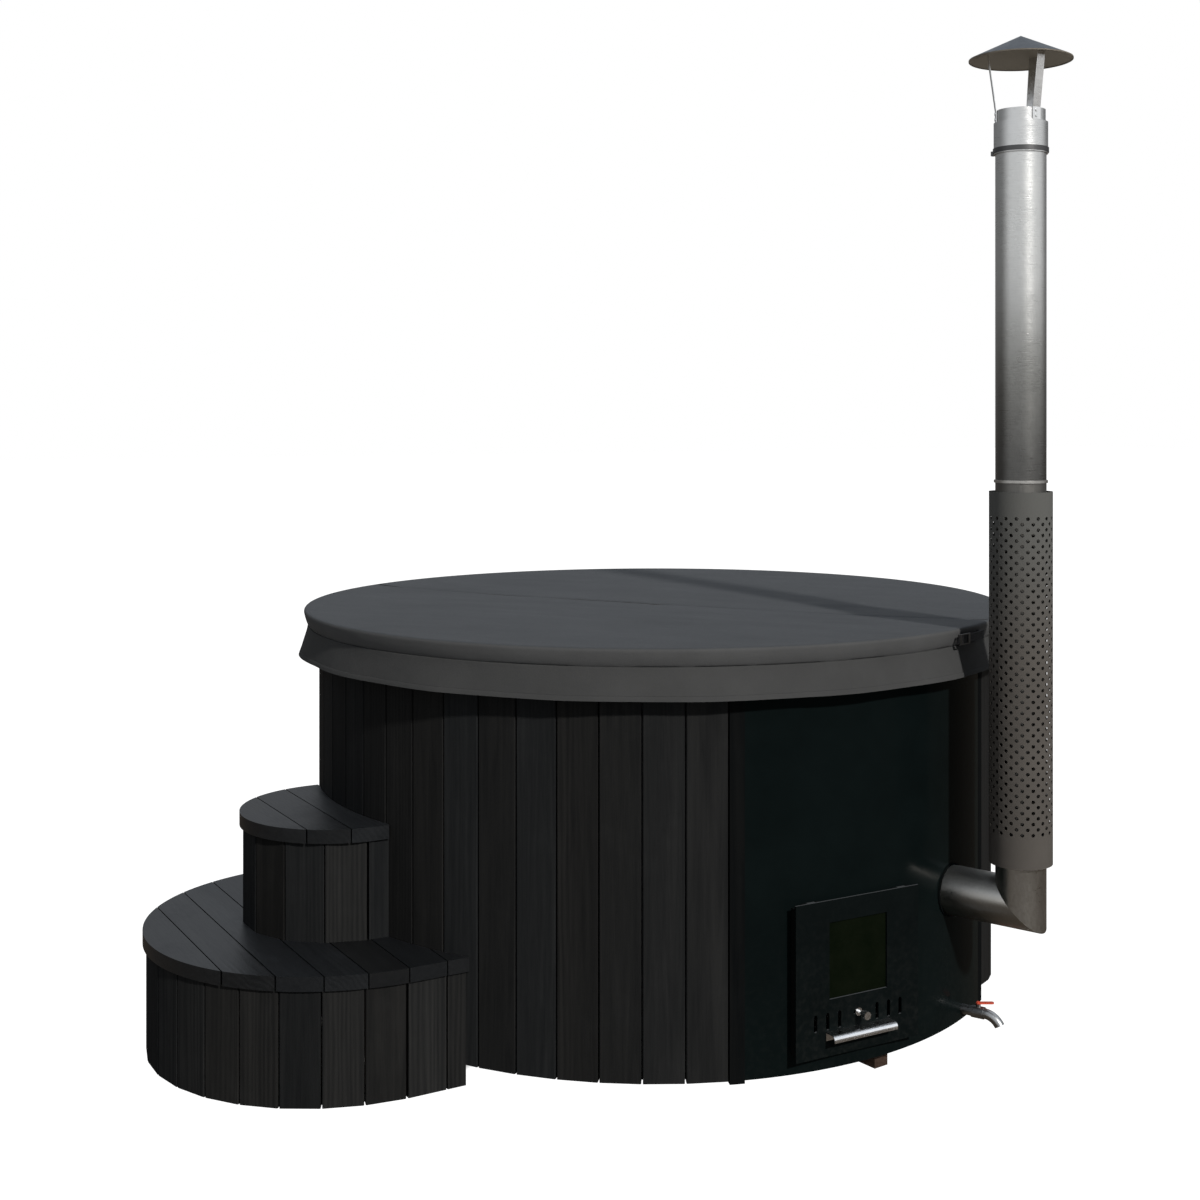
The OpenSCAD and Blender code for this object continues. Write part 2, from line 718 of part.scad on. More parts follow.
// A pipe with a narrower spigot below it
module chimney_pipe(from, to) on_chimney(0) rotate_extrude() {
    slim = flue_r - flue_t - fit;
    polygon([[slim - flue_t, from - spigot_l], [slim, from - spigot_l], [slim, from], [flue_r, from],
        [flue_r, to], [flue_r - flue_t, to], [flue_r - flue_t, from + 2 * flue_t],
        [slim - flue_t, from + flue_t]]);
}
module chimney_lower() color(steel) chimney_pipe(elbow_top, pipe_joint_z);
module chimney_upper() color(steel) chimney_pipe(pipe_joint_z, pipe_top_z);
module joint_band() color(steel) on_chimney(pipe_joint_z - band_l / 2)
    tube(flue_r + fit, flue_r + band_t, band_l);

// Heat shield: a sleeve round the lower pipe
shield_r = shield_d / 2;
shield_t = 1.5;
module heat_shield() color(cast) on_chimney(shield_from)
    tube(shield_r - shield_t, shield_r, shield_to - shield_from);

spacer_w = 12;
spacer_h = 20;
spacer_count = 3;
spacer_inset = 12;
module shield_spacers() color(steel)
    for (z = [shield_from + spacer_inset, shield_to - spacer_inset - spacer_h])
        on_chimney(z) for (i = [0:spacer_count - 1]) rotate([0, 0, i * full_turn / spacer_count])
            centred_box(spacer_w, -shield_r + shield_t + 2 * fit, -flue_r - fit, 0, spacer_h);

// Rain cap
collar_h = 81;
collar_t = 4;
clamp_h = 12;
clamp_t = 2;
clamp_rise = 3;
clamp_lug_t = 3;
clamp_lug_reach = 14;
spigot_rise = 32;
leg_turns = [-125, -5, 115];
rivet_shares = [0.3, 0.75];
leg_w = 24;
leg_t = 2;
leg_in = 85;
leg_tab = 26;
cap_sheet = 1.2;
cap_hem = 3;
cap_rim_z = pipe_top_z + cap_lift;
module cap_collar() color(steel) on_chimney(pipe_top_z - collar_h)
    tube(flue_r + fit, flue_r + collar_t, collar_h);
module collar_clamp() color(steel) on_chimney(pipe_top_z - collar_h + clamp_rise) {
    tube(flue_r + collar_t + fit, flue_r + collar_t + fit + clamp_t, clamp_h);
    around(180) for (side = [-1, 1]) translate([side * clamp_lug_t, 0, 0])
        centred_box(clamp_lug_t, -flue_r - collar_t - clamp_lug_reach, -flue_r - collar_t - clamp_t,
            0, clamp_h);
}
module cap_spigot() color(steel) on_chimney(pipe_top_z - spigot_l)
    tube(flue_r - 2 * flue_t - fit, flue_r - flue_t - fit, spigot_l + spigot_rise);

// Height of the cone's underside at a radius
function cone_under(r) = cap_rim_z + cap_h * (1 - 2 * r / cap_d) - cap_sheet;
module cap_legs() color(steel) on_chimney(0) for (turn = leg_turns) around(turn - flue_turn) {
    foot = flue_r - flue_t;
    low = pipe_top_z + 4 * fit;
    high = pipe_top_z + spigot_rise;
    top = cone_under(leg_in) - fit;
    end = cone_under(leg_in + leg_tab) - fit;
    translate([leg_w / 2, 0, 0]) rotate([90, 0, -90]) linear_extrude(height = leg_w) polygon([
        [foot, low], [foot + leg_t, low], [foot + leg_t, high], [leg_in + leg_t / 2, top - leg_t],
        [leg_in + leg_tab, end - leg_t], [leg_in + leg_tab, end], [leg_in, top], [foot, high]]);
}
module cap_rivets() color(steel) on_chimney(0) for (turn = leg_turns) around(turn - flue_turn)
    for (share = rivet_shares) radial(rivet_r, flue_r - flue_t + leg_t, flue_r - flue_t + leg_t + rivet_h,
        pipe_top_z + share * spigot_rise);
module cap_cone() color([0.22, 0.24, 0.27]) on_chimney(0) rotate_extrude() polygon([
    [0, cap_rim_z + cap_h], [cap_d / 2, cap_rim_z], [cap_d / 2, cap_rim_z - cap_hem],
    [cap_d / 2 - cap_sheet, cap_rim_z - cap_hem], [cap_d / 2 - cap_sheet, cap_rim_z - cap_sheet / 2],
    [0, cap_rim_z + cap_h - cap_sheet]]);

// Drain
drain_inset = 75;
drain_in = well_r - drain_inset;
drain_r = drain_d / 2;
drain_t = 2;
drain_out = 30;
drain_stop = tub_r + drain_out;
outlet_r = 38;
outlet_t = 3;
outlet_slots = 8;
valve_l = 34;
valve_t = 2.5;
stem_r = 4;
stem_h = 12;
lever_l = 36;
lever_w = 12;
lever_t = 4;
lever_turn = 60;
bend_r = 50;
module drain_outlet() color(steel) around(drain_turn) translate([0, -drain_in, 0]) difference() {
    union() {
        translate([0, 0, well_z]) cylinder(r = outlet_r, h = outlet_t);
        translate([0, 0, drain_z + drain_r])
            cylinder(r = drain_r - drain_t - fit, h = well_z - drain_z - drain_r);
    }
    translate([0, 0, drain_z]) cylinder(r = drain_r - 2 * drain_t - fit, h = well_z - drain_z);
    for (i = [0:outlet_slots - 1]) rotate([0, 0, i * full_turn / outlet_slots])
        translate([drain_r / 2, 0, well_z - cut]) cylinder(r = drain_t, h = outlet_t + 2 * cut);
}
module drain_pipe() color(steel) around(drain_turn) difference() {
    union() {
        radial(drain_r, drain_in - drain_r, drain_stop, drain_z);
        translate([0, -drain_in, drain_z]) cylinder(r = drain_r, h = base_top + floor_foam_t - drain_z);
    }
    radial(drain_r - drain_t, drain_in - drain_r + drain_t, drain_stop + cut, drain_z);
    translate([0, -drain_in, drain_z]) cylinder(r = drain_r - drain_t, h = wall_h);
}
module drain_valve() color(steel) around(drain_turn) {
    difference() {
        union() {
            radial(drain_r + valve_t, drain_stop, drain_stop + valve_l, drain_z);
            translate([0, -drain_stop - valve_l / 2, drain_z])
                cylinder(r = stem_r + valve_t, h = drain_r + valve_t + stem_h / 2);
        }
        radial(drain_r - drain_t, drain_stop - cut, drain_stop + valve_l + cut, drain_z);
        translate([0, -drain_stop - valve_l / 2, drain_z + drain_r + valve_t])
            cylinder(r = stem_r + pin_clearance, h = stem_h);
    }
}
module valve_lever() color([0.75, 0.10, 0.05]) around(drain_turn)
    translate([0, -drain_stop - valve_l / 2, drain_z + drain_r + valve_t + fit]) {
        cylinder(r = stem_r, h = stem_h);
        translate([0, 0, stem_h / 2 + fit]) cylinder(r = lever_w / 2, h = lever_t);
        rotate([0, 0, lever_turn - drain_turn]) translate([0, 0, stem_h / 2 + fit]) {
            centred_box(lever_w, -lever_l, 0, 0, lever_t);
            translate([0, -lever_l, 0]) cylinder(r = lever_w / 2, h = lever_t);
        }
    }
module drain_spout() color(steel) around(drain_turn)
    translate([0, -drain_stop - valve_l, drain_z - bend_r]) rotate([90, 0, -90])
        rotate([0, 0, 90 - spout_turn]) rotate_extrude(angle = spout_turn) translate([bend_r, 0])
            difference() {
                circle(r = drain_r);
                circle(r = drain_r - drain_t);
            }

// Steps: half-round boxes that stand against the wall boards
steps_inset = 7;
steps_out = tub_r - steps_inset;
lower_pitch = 11.65;
upper_pitch = 23.9;
lower_arc_boards = 15;
upper_arc_boards = 7;
tread_gap = 3;
former_t = 18;
former_w = 60;
post_w = 45;
post_turns = [-80, -27, 27, 80];
wall_clear = 0.3;

module on_steps() around(steps_turn) translate([0, -steps_out, 0]) children();

// Takes away what would reach into the tub
module clear_of_tub() difference() {
    children();
    cylinder(r = tub_r + wall_clear, h = wall_top);
}

// How far the straight side of a step runs from its centre back to the tub
function side_run(r) = steps_out - sqrt(pow(tub_r + wall_clear, 2) - pow(r, 2));

// Side boards of one step: flat boards round the arc, and straight ones back to the tub
module step_boards(r, pitch, count, from, to) clear_of_tub() on_steps() translate([0, 0, from]) {
    for (i = [0:count - 1]) rotate([0, 0, (i - (count - 1) / 2) * pitch])
        linear_extrude(height = to - from) board_outline(r, pitch, side_t);
    end = 90 - count * pitch / 2;
    width = 2 * r * sin(pitch / 2);
    start = r * sin(end) - board_gap;
    inner = side_run(r - side_t) + side_t;
    for (side = [-1, 1]) translate([side * (r * cos(end) - side_t / 2), 0, 0])
        for (i = [0:ceil((inner + start) / width) - 1])
            centred_box(side_t, i * width - start, min((i + 1) * width - start - board_gap, inner),
                0, to - from);
}

module step_outline(r, grow) {
    circle(r = r + grow);
    translate([-r - grow, 0]) square([2 * (r + grow), side_run(r) + tub_r / 10]);
}

module step_treads(r, z) clear_of_tub() on_steps() translate([0, 0, z - tread_t]) {
    count = ceil((r + nosing + side_run(r)) / tread_pitch);
    linear_extrude(height = tread_t) intersection() {
        step_outline(r, nosing);
        union() for (i = [0:count - 1])
            translate([-2 * r, -r - nosing + i * tread_pitch]) square([4 * r, tread_pitch - tread_gap]);
    }
}

module step_frame(r, pitch, from, to) clear_of_tub() on_steps() {
    outer = r * cos(pitch / 2) - side_t - fit;
    for (z = [from, to - former_t]) translate([0, 0, z]) linear_extrude(height = former_t) difference() {
        union() {
            circle(r = outer);
            translate([-outer, 0]) square([2 * outer, side_run(r) + tub_r / 10]);
        }
        circle(r = outer - former_w);
        translate([former_w - outer, 0]) square([2 * (outer - former_w), tub_r]);
    }
    for (turn = post_turns) rotate([0, 0, turn]) translate([0, -outer + post_w, from + former_t])
        centred_box(post_w, -post_w / 2, post_w / 2, 0, to - from - 2 * former_t);
}

module lower_step_boards() color(wood)
    step_boards(lower_r, lower_pitch, lower_arc_boards, 0, lower_z - tread_t);
module lower_step_treads() color(wood) step_treads(lower_r, lower_z);
module lower_step_frame() color(raw_wood) step_frame(lower_r, lower_pitch, 0, lower_z - tread_t);
module upper_step_boards() color(wood)
    step_boards(upper_r, upper_pitch, upper_arc_boards, lower_z, upper_z - tread_t);
module upper_step_treads() color(wood) step_treads(upper_r, upper_z);
module upper_step_frame() color(raw_wood) step_frame(upper_r, upper_pitch, lower_z, upper_z - tread_t);

// Cover: two padded half discs, each with a skirt
fold_gap = 1.5;
band_lean = 13;
cover_under = rim_z + fit;
cover_top = cover_under + cover_t;
seam_z = cover_top - band_h;
seam_r = cover_r - band_lean;
skirt_t = 5;
core_r = seam_r - skirt_t - fit;
edge_round = 6;
skirt_wave = 3;
skirt_waves = 9;
sag_reach = 220;
half_steps = 45;
ring_shares = [0.2, 0.4, 0.6, 0.8, 0.93];

// Height of the cover's top at a place along the fold and a distance from it
function cover_height(along, away) = cover_top - cover_sag * exp(-pow(away / sag_reach, 2))
    * (1 - pow(min(abs(along) / cover_r, 1), 4));

// Places a radius of a half disc at an angle, with the fold's gap kept free
function half_place(r, a) = [r * cos(a), fold_gap + r * sin(a) * (1 - fold_gap / cover_r)];
function top_point(r, a) = let (p = half_place(r, a)) [p[0], p[1], cover_height(p[0], p[1])];
function side_point(r, z, a) = let (p = half_place(r, a)) [p[0], p[1], z];

function slab_ring(a) = concat(
    [for (share = ring_shares) top_point(share * cover_r, a)],
    [top_point(cover_r - edge_round, a), side_point(cover_r, cover_top - edge_round, a),
     side_point(seam_r, seam_z, a), side_point(core_r, seam_z - fit, a),
     side_point(core_r, cover_under, a)]);

module cover_slab() {
    rings = [for (i = [0:half_steps]) slab_ring(full_turn / 2 * i / half_steps)];
    m = len(rings[0]);
    points = concat([top_point(0, 0), side_point(0, cover_under, 0)], [for (ring = rings) for (p = ring) p]);
    function at(i, j) = 2 + i * m + j;
    n = half_steps;
    polyhedron(points, concat(
        [for (i = [0:n - 1]) [0, at(i + 1, 0), at(i, 0)]],
        [for (i = [0:n - 1]) for (j = [0:m - 2]) [at(i, j), at(i + 1, j), at(i + 1, j + 1)]],
        [for (i = [0:n - 1]) for (j = [0:m - 2]) [at(i, j), at(i + 1, j + 1), at(i, j + 1)]],
        [for (i = [0:n - 1]) [1, at(i, m - 1), at(i + 1, m - 1)]],
        [[1, 0, at(0, 0)], [1, at(n, 0), 0]],
        [for (j = [0:m - 2]) [1, at(0, j), at(0, j + 1)]],
        [for (j = [0:m - 2]) [1, at(n, j + 1), at(n, j)]]));
}

// A point of the skirt, which flares towards its hem and hangs in shallow waves
function skirt_point(inset, depth, a) = side_point(seam_r - inset + depth * (skirt_flare
    + skirt_wave * sin(2 * skirt_waves * a)), seam_z - 2 * fit - depth * skirt_h, a);
function skirt_ring(a) = [skirt_point(0, 0, a), skirt_point(0, 0.5, a), skirt_point(0, 1, a),
    skirt_point(skirt_t, 1, a), skirt_point(skirt_t, 0.5, a), skirt_point(skirt_t, 0, a)];

module cover_skirt() {
    n = 2 * half_steps;
    rings = [for (i = [0:n]) skirt_ring(full_turn / 2 * i / n)];
    m = len(rings[0]);
    function at(i, j) = i * m + j % m;
    polyhedron([for (ring = rings) for (p = ring) p], concat(
        [for (i = [0:n - 1]) for (j = [0:m - 1]) [at(i, j), at(i + 1, j), at(i + 1, j + 1)]],
        [for (i = [0:n - 1]) for (j = [0:m - 1]) [at(i, j), at(i + 1, j + 1), at(i, j + 1)]],
        [[0, 1, 5], [1, 4, 5], [1, 2, 4], [2, 3, 4]],
        [for (t = [[0, 5, 1], [1, 5, 4], [1, 4, 2], [2, 4, 3]]) [for (k = t) n * m + k]]));
}

module cover_back() color(cloth) rotate([0, 0, fold_turn - 90]) cover_slab();
module cover_back_skirt() color(cloth) rotate([0, 0, fold_turn - 90]) cover_skirt();
module cover_front() color(cloth) rotate([0, 0, fold_turn + 90]) cover_slab();
module cover_front_skirt() color(cloth) rotate([0, 0, fold_turn + 90]) cover_skirt();

// Carrying strap on the side band
strap_from = 20;
strap_to = 27;
strap_w = 22;
strap_t = 2.5;
strap_bulge = 12;
strap_end = 1;
strap_rise = 8;
strap_z = seam_z + strap_rise;
buckle_bar = 3;
module cover_strap() color(foam) {
    outer = cover_r + strap_bulge;
    band = seam_r + (strap_z + strap_w - seam_z) * band_lean / (band_h - edge_round) - fit;
    difference() {
        sector(strap_from, strap_to) profile_box(band, outer, strap_z, strap_z + strap_w);
        sector(strap_from + strap_end, strap_to - strap_end)
            profile_box(band - cut, outer - strap_t, strap_z - cut, strap_z + strap_w + cut);
    }
}
module strap_buckle() color(steel) {
    low = strap_z - buckle_bar;
    high = strap_z + strap_w + buckle_bar;
    r1 = cover_r + strap_bulge + fit;
    difference() {
        sector(strap_from - strap_end, strap_from + 2 * strap_end)
            profile_box(r1, r1 + buckle_bar, low, high);
        sector(strap_from - strap_end / 2, strap_from + 1.5 * strap_end)
            profile_box(r1 - cut, r1 + buckle_bar + cut, low + buckle_bar, high - buckle_bar);
    }
}

base_beams();
base_board();
floor_insulation();
wall_boards();
wall_hoops();
wall_insulation();
liner();
liner_bench();
liner_well();
liner_ports();
bench_supports();
front_panel();
panel_trims();
heater_jacket();
heater_back();
firebox();
fire_grate();
ash_pan();
flame_baffle();
smoke_box();
water_ports();
door_frame();
door_plate();
door_glass();
glass_clips();
door_gasket();
door_hinge_pins();
door_handle();
air_slide();
air_knob();
slide_guides();
flue_stub();
flue_seal();
flue_elbow();
chimney_lower();
chimney_upper();
joint_band();
heat_shield();
shield_spacers();
cap_collar();
collar_clamp();
cap_spigot();
cap_legs();
cap_rivets();
cap_cone();
drain_outlet();
drain_pipe();
drain_valve();
valve_lever();
drain_spout();
lower_step_boards();
lower_step_treads();
lower_step_frame();
upper_step_boards();
upper_step_treads();
upper_step_frame();
cover_back();
cover_back_skirt();
cover_front();
cover_front_skirt();
cover_strap();
strap_buckle();
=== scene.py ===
import math

import bmesh
import bpy
from mathutils import Matrix, Vector, noise


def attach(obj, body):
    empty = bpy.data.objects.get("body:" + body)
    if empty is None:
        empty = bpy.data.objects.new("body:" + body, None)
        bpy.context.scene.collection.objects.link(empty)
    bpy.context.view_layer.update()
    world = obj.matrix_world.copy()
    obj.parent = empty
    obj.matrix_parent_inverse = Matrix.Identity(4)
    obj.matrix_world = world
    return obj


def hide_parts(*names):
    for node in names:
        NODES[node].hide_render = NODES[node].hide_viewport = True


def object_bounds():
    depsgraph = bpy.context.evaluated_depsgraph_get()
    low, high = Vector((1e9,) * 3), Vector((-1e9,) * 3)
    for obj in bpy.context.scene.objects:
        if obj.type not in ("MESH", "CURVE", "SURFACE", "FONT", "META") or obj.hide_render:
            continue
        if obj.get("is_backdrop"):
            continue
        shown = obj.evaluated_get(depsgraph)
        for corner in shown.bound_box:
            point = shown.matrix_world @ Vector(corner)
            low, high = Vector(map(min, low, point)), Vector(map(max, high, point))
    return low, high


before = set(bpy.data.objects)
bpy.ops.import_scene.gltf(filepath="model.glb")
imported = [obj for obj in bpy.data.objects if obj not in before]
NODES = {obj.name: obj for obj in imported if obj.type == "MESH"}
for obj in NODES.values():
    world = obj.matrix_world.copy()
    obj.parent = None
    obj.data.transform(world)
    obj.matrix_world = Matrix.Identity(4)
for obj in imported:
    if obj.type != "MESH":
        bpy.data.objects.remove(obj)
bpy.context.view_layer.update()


# Camera, at the photograph's viewing angle: level, seen from the left of the stove door
EYE = (-2.5, -4.3301, 1.675)
VIEW_TURN = -30
LENS = 49.41
SENSOR = 36
SHIFT = (-0.0458, -0.1538)
eye = bpy.data.objects.new("camera", bpy.data.cameras.new("camera"))
bpy.context.scene.collection.objects.link(eye)
bpy.context.scene.camera = eye
eye.location = EYE
eye.rotation_euler = (math.radians(90), 0, math.radians(VIEW_TURN))
eye.data.lens = LENS
eye.data.sensor_width = SENSOR
eye.data.shift_x, eye.data.shift_y = SHIFT
eye.data.clip_end = 200
bpy.context.scene.view_settings.view_transform = "Standard"


# Places round the tub: an angle from the door, growing towards +X, and a distance from the axis
def around(turn, out, z=0.0):
    a = math.radians(turn)
    return Vector((out * math.sin(a), -out * math.cos(a), z))


FLUE_TURN, FLUE_OUT = 22, 1.201
STEPS_TURN, STEPS_OUT = -89, 0.993
FLUE = around(FLUE_TURN, FLUE_OUT)
STEPS = around(STEPS_TURN, STEPS_OUT)


class Tree:
    """The nodes of a material, or of the world, and short ways to add them."""

    def __init__(self, name, world=None):
        self.m = world or bpy.data.materials.new(name)
        self.m.use_nodes = True
        self.t = self.m.node_tree
        self.p = self.t.nodes.get("Principled BSDF")

    def new(self, kind, **sets):
        n = self.t.nodes.new("ShaderNode" + kind)
        for k, v in sets.items():
            setattr(n, k, v)
        return n

    def put(self, socket, value):
        if isinstance(value, bpy.types.NodeSocket):
            self.t.links.new(value, socket)
        elif socket.type == "RGBA":
            socket.default_value = (*value[:3], 1)
        else:
            socket.default_value = value

    def math(self, op, a, b=0.0, c=0.0):
        n = self.new("Math", operation=op)
        for s, v in zip(n.inputs, (a, b, c)):
            self.put(s, v)
        return n.outputs[0]

    def vmath(self, op, a, b):
        n = self.new("VectorMath", operation=op)
        self.put(n.inputs[0], a)
        if op == "SCALE":
            self.put(n.inputs["Scale"], b)
        else:
            self.put(n.inputs[1], b)
        return n.outputs[0]

    def place(self, turn=0.0, centre=(0, 0, 0)):
        """Object coordinates, from a centre and turned about Z."""
        c = self.new("TexCoord").outputs["Object"]
        n = self.new("Mapping", vector_type="TEXTURE")
        self.put(n.inputs["Vector"], c)
        n.inputs["Location"].default_value = centre
        n.inputs["Rotation"].default_value = (0, 0, math.radians(turn))
        return n.outputs[0]

    def split(self, v):
        n = self.new("SeparateXYZ")
        self.put(n.inputs[0], v)
        return n.outputs

    def noise(self, v, scale, detail=3.0, rough=0.5, distortion=0.0):
        n = self.new("TexNoise")
        self.put(n.inputs["Vector"], v)
        n.inputs["Scale"].default_value = scale
        n.inputs["Detail"].default_value = detail
        n.inputs["Roughness"].default_value = rough
        n.inputs["Distortion"].default_value = distortion
        return n.outputs["Fac"]

    def cells(self, v, scale):
        n = self.new("TexVoronoi")
        self.put(n.inputs["Vector"], v)
        n.inputs["Scale"].default_value = scale
        return n.outputs["Distance"]

    def up(self):
        """How far a face looks up, from -1 to 1."""
        return self.split(self.new("NewGeometry").outputs["Normal"])[2]

    def white(self, w):
        n = self.new("TexWhiteNoise", noise_dimensions="1D")
        self.put(n.inputs["W"], w)
        return n.outputs["Value"]

    def ramp(self, x, a, b, low=0.0, high=1.0, smooth=False):
        n = self.new("MapRange", interpolation_type="SMOOTHSTEP" if smooth else "LINEAR")
        names = ("Value", "From Min", "From Max", "To Min", "To Max")
        for k, v in zip(names, (x, a, b, low, high)):
            self.put(n.inputs[k], v)
        return n.outputs["Result"]

    def mix(self, f, a, b, kind="MIX"):
        n = self.new("Mix", data_type="RGBA", blend_type=kind)
        self.put(n.inputs[0], f)
        self.put(n.inputs[6], a)
        self.put(n.inputs[7], b)
        return n.outputs[2]

    def bump(self, *layers):
        """Layers of (height, depth in metres)."""
        normal = None
        for height, depth in layers:
            n = self.new("Bump")
            n.inputs["Strength"].default_value = 1.0
            n.inputs["Distance"].default_value = depth
            self.put(n.inputs["Height"], height)
            if normal is not None:
                self.put(n.inputs["Normal"], normal)
            normal = n.outputs[0]
        self.put(self.p.inputs["Normal"], normal)

    def set(self, **values):
        names = {"color": "Base Color", "rough": "Roughness", "metal": "Metallic",
                 "shine": "Specular IOR Level", "through": "Transmission Weight",
                 "tint": "Specular Tint"}
        for k, v in values.items():
            self.put(self.p.inputs[names[k]], v)
        return self.m


COOL, WARM = (0.96, 1.0, 1.045), (1.03, 1.0, 0.97)


def wood(name, dark, light, along, index=None, shine=0.2, rough=0.62, spread=(0.82, 1.2),
         centre=(0, 0, 0), turn=0.0, raw=False, tint=(1, 1, 1)):
    """Stained wood with its grain along an axis, and a tone of its own for each board.

    Raw wood wears darker, and stained wood lighter."""
    m = Tree(name)
    v = m.place(turn, centre)
    one = m.white(index(m, v)) if index else 0.5
    shifted = m.vmath("ADD", v, m.vmath("SCALE", (3.1, 7.3, 5.7), one))

    def stretched(slow):
        by_axis = {"x": (slow, 1, 1), "y": (1, slow, 1), "z": (1, 1, slow)}
        return m.vmath("MULTIPLY", shifted, by_axis[along])

    streak = stretched(0.045)
    fine = m.noise(streak, 420, 4, 0.6)
    bands = m.noise(streak, 46, 3, 0.55, 1.2)
    rings = m.new("TexWave", wave_type="RINGS", rings_direction=along.upper())
    m.put(rings.inputs["Vector"], stretched(0.06))
    rings.inputs["Scale"].default_value = 26
    rings.inputs["Distortion"].default_value = 9
    rings.inputs["Detail"].default_value = 2
    rings.inputs["Detail Scale"].default_value = 0.8
    figured = m.ramp(m.noise(streak, 5, 2, 0.5), 0.45, 0.65, 0.0, 0.24)
    swirl = m.math("MULTIPLY", rings.outputs["Fac"], figured)
    tone = m.math("ADD", m.math("MULTIPLY", bands, 0.62), swirl)
    tone = m.math("ADD", tone, m.math("MULTIPLY", fine, 0.34))
    grain = m.mix(m.ramp(tone, 0.3, 0.85), dark, light)
    other = m.white(m.math("ADD", one, 0.37)) if index else 0.5
    c = m.mix(1.0, grain, m.mix(other, COOL, WARM), "MULTIPLY")
    level = m.ramp(one, 0, 1, *spread) if index else 1.0
    c = m.vmath("SCALE", c, level)
    worn = m.ramp(m.noise(m.place(), 7, 4, 0.6), 0.55, 0.8)
    c = m.mix(m.math("MULTIPLY", worn, 0.25), c, m.vmath("SCALE", c, 0.6 if raw else 1.8))
    m.bump((bands, 0.0002), (fine, 0.0003), (swirl, 0.0006))
    wear = m.math("ADD", fine, m.math("MULTIPLY", worn, 0.5))
    roughness = m.ramp(wear, 0.2, 1.2, rough - 0.08, rough + 0.12)
    return m.set(color=c, rough=roughness, shine=shine, tint=tint)


def ring_index(pitch, start):
    """Which board round a centre, from the angle."""
    def index(m, v):
        x, y, _ = m.split(v)
        angle = m.math("ARCTAN2", x, m.math("MULTIPLY", y, -1.0))
        turned = m.math("SUBTRACT", m.math("DEGREES", angle), start)
        return m.math("FLOOR", m.math("DIVIDE", m.math("WRAP", turned, 360.0, 0.0), pitch))
    return index


def row_index(pitch, start):
    """Which board of a row along the local Y."""
    def index(m, v):
        return m.math("FLOOR", m.math("DIVIDE", m.math("SUBTRACT", m.split(v)[1], start), pitch))
    return index


def metal(name, color, rough, brush=None, blotch=0.12, fade=None, scratch=0.0, depth=0.0002):
    """Sheet metal, brushed round or along an axis, with faint blotches.

    Fade holds (low, high, tint): each tint comes in between its two heights, as a painted
    reflection."""
    m = Tree(name)
    v = m.place()
    stretch = {"z": (1, 1, 0.02), "round": (0.03, 0.03, 1), None: (1, 1, 1)}[brush]
    lines = m.noise(m.vmath("MULTIPLY", v, stretch), 900 if brush else 160, 3, 0.6)
    cloud = m.noise(v, 9, 4, 0.6)
    spots = m.noise(v, 60, 3, 0.6)
    base = color
    # Lighter towards the top by height: a painted reflection of the bright sky.
    if fade:
        z = m.math("ADD", m.split(v)[2], m.math("MULTIPLY", m.math("SUBTRACT", cloud, 0.5), 0.10))
        for low, high, tint in fade:
            base = m.mix(m.ramp(z, low, high, smooth=True), base, tint)
    shade = m.ramp(cloud, 0.2, 0.8, 1 - blotch, 1 + blotch)
    shade = m.math("ADD", shade, m.ramp(lines, 0.2, 0.8, -0.07, 0.07))
    c = m.vmath("SCALE", base, shade)
    r = m.ramp(cloud, 0.2, 0.8, rough - 0.05, rough + 0.07)
    r = m.math("ADD", r, m.ramp(lines, 0.2, 0.8, -0.06, 0.06))
    if scratch:
        v2 = m.vmath("MULTIPLY", m.place(31), (1, 0.05, 0.6))
        mark = m.ramp(m.noise(v2, 300, 2, 0.5), 0.66, 0.7)
        r = m.math("ADD", r, m.math("MULTIPLY", mark, scratch))
    m.bump((lines, depth), (spots, depth * 1.2))
    return m.set(color=c, rough=r, metal=1.0)


def paint(name, color, rough, shine=0.4, orange=0.0002, dust=0.0, dust_color=(0.25, 0.24, 0.22),
          blotch=0.15, upper=None, under=None, edge=None):
    """Painted or powder-coated metal: a fine skin, faint blotches, and dust that gathers low.

    Upper is (low, high, colour): the colour comes in between the two heights.
    Under and edge are the colours of what looks down and up; the edge colour is a painted
    highlight."""
    m = Tree(name)
    v = m.place()
    skin = m.noise(v, 520, 2, 0.5)
    cloud = m.noise(v, 6, 5, 0.6)
    small = m.noise(v, 70, 4, 0.65)
    c = m.vmath("SCALE", color, m.ramp(cloud, 0.25, 0.75, 1 - blotch, 1 + blotch))
    if upper:
        c = m.mix(m.ramp(m.split(v)[2], upper[0], upper[1], smooth=True), c, upper[2])
    if under:
        c = m.mix(m.ramp(m.up(), 0.1, -0.1), c, under)
    # A face that looks up takes the edge colour: a painted highlight.
    if edge:
        c = m.mix(m.ramp(m.up(), 0.5, 0.8), c, edge)
    if dust:
        low = m.math("MULTIPLY", m.ramp(m.split(v)[2], 0.5, 0.05), m.ramp(small, 0.45, 0.75))
        c = m.mix(m.math("MULTIPLY", low, dust), c, dust_color)
    r = m.ramp(cloud, 0.25, 0.75, rough - 0.04, rough + 0.05)
    r = m.math("ADD", r, m.ramp(small, 0.4, 0.8, 0, 0.06))
    m.bump((skin, orange))
    return m.set(color=c, rough=r, shine=shine)


PATCH_TURN = -57.3
DUST_TINT = (1.1, 1.0, 0.94)


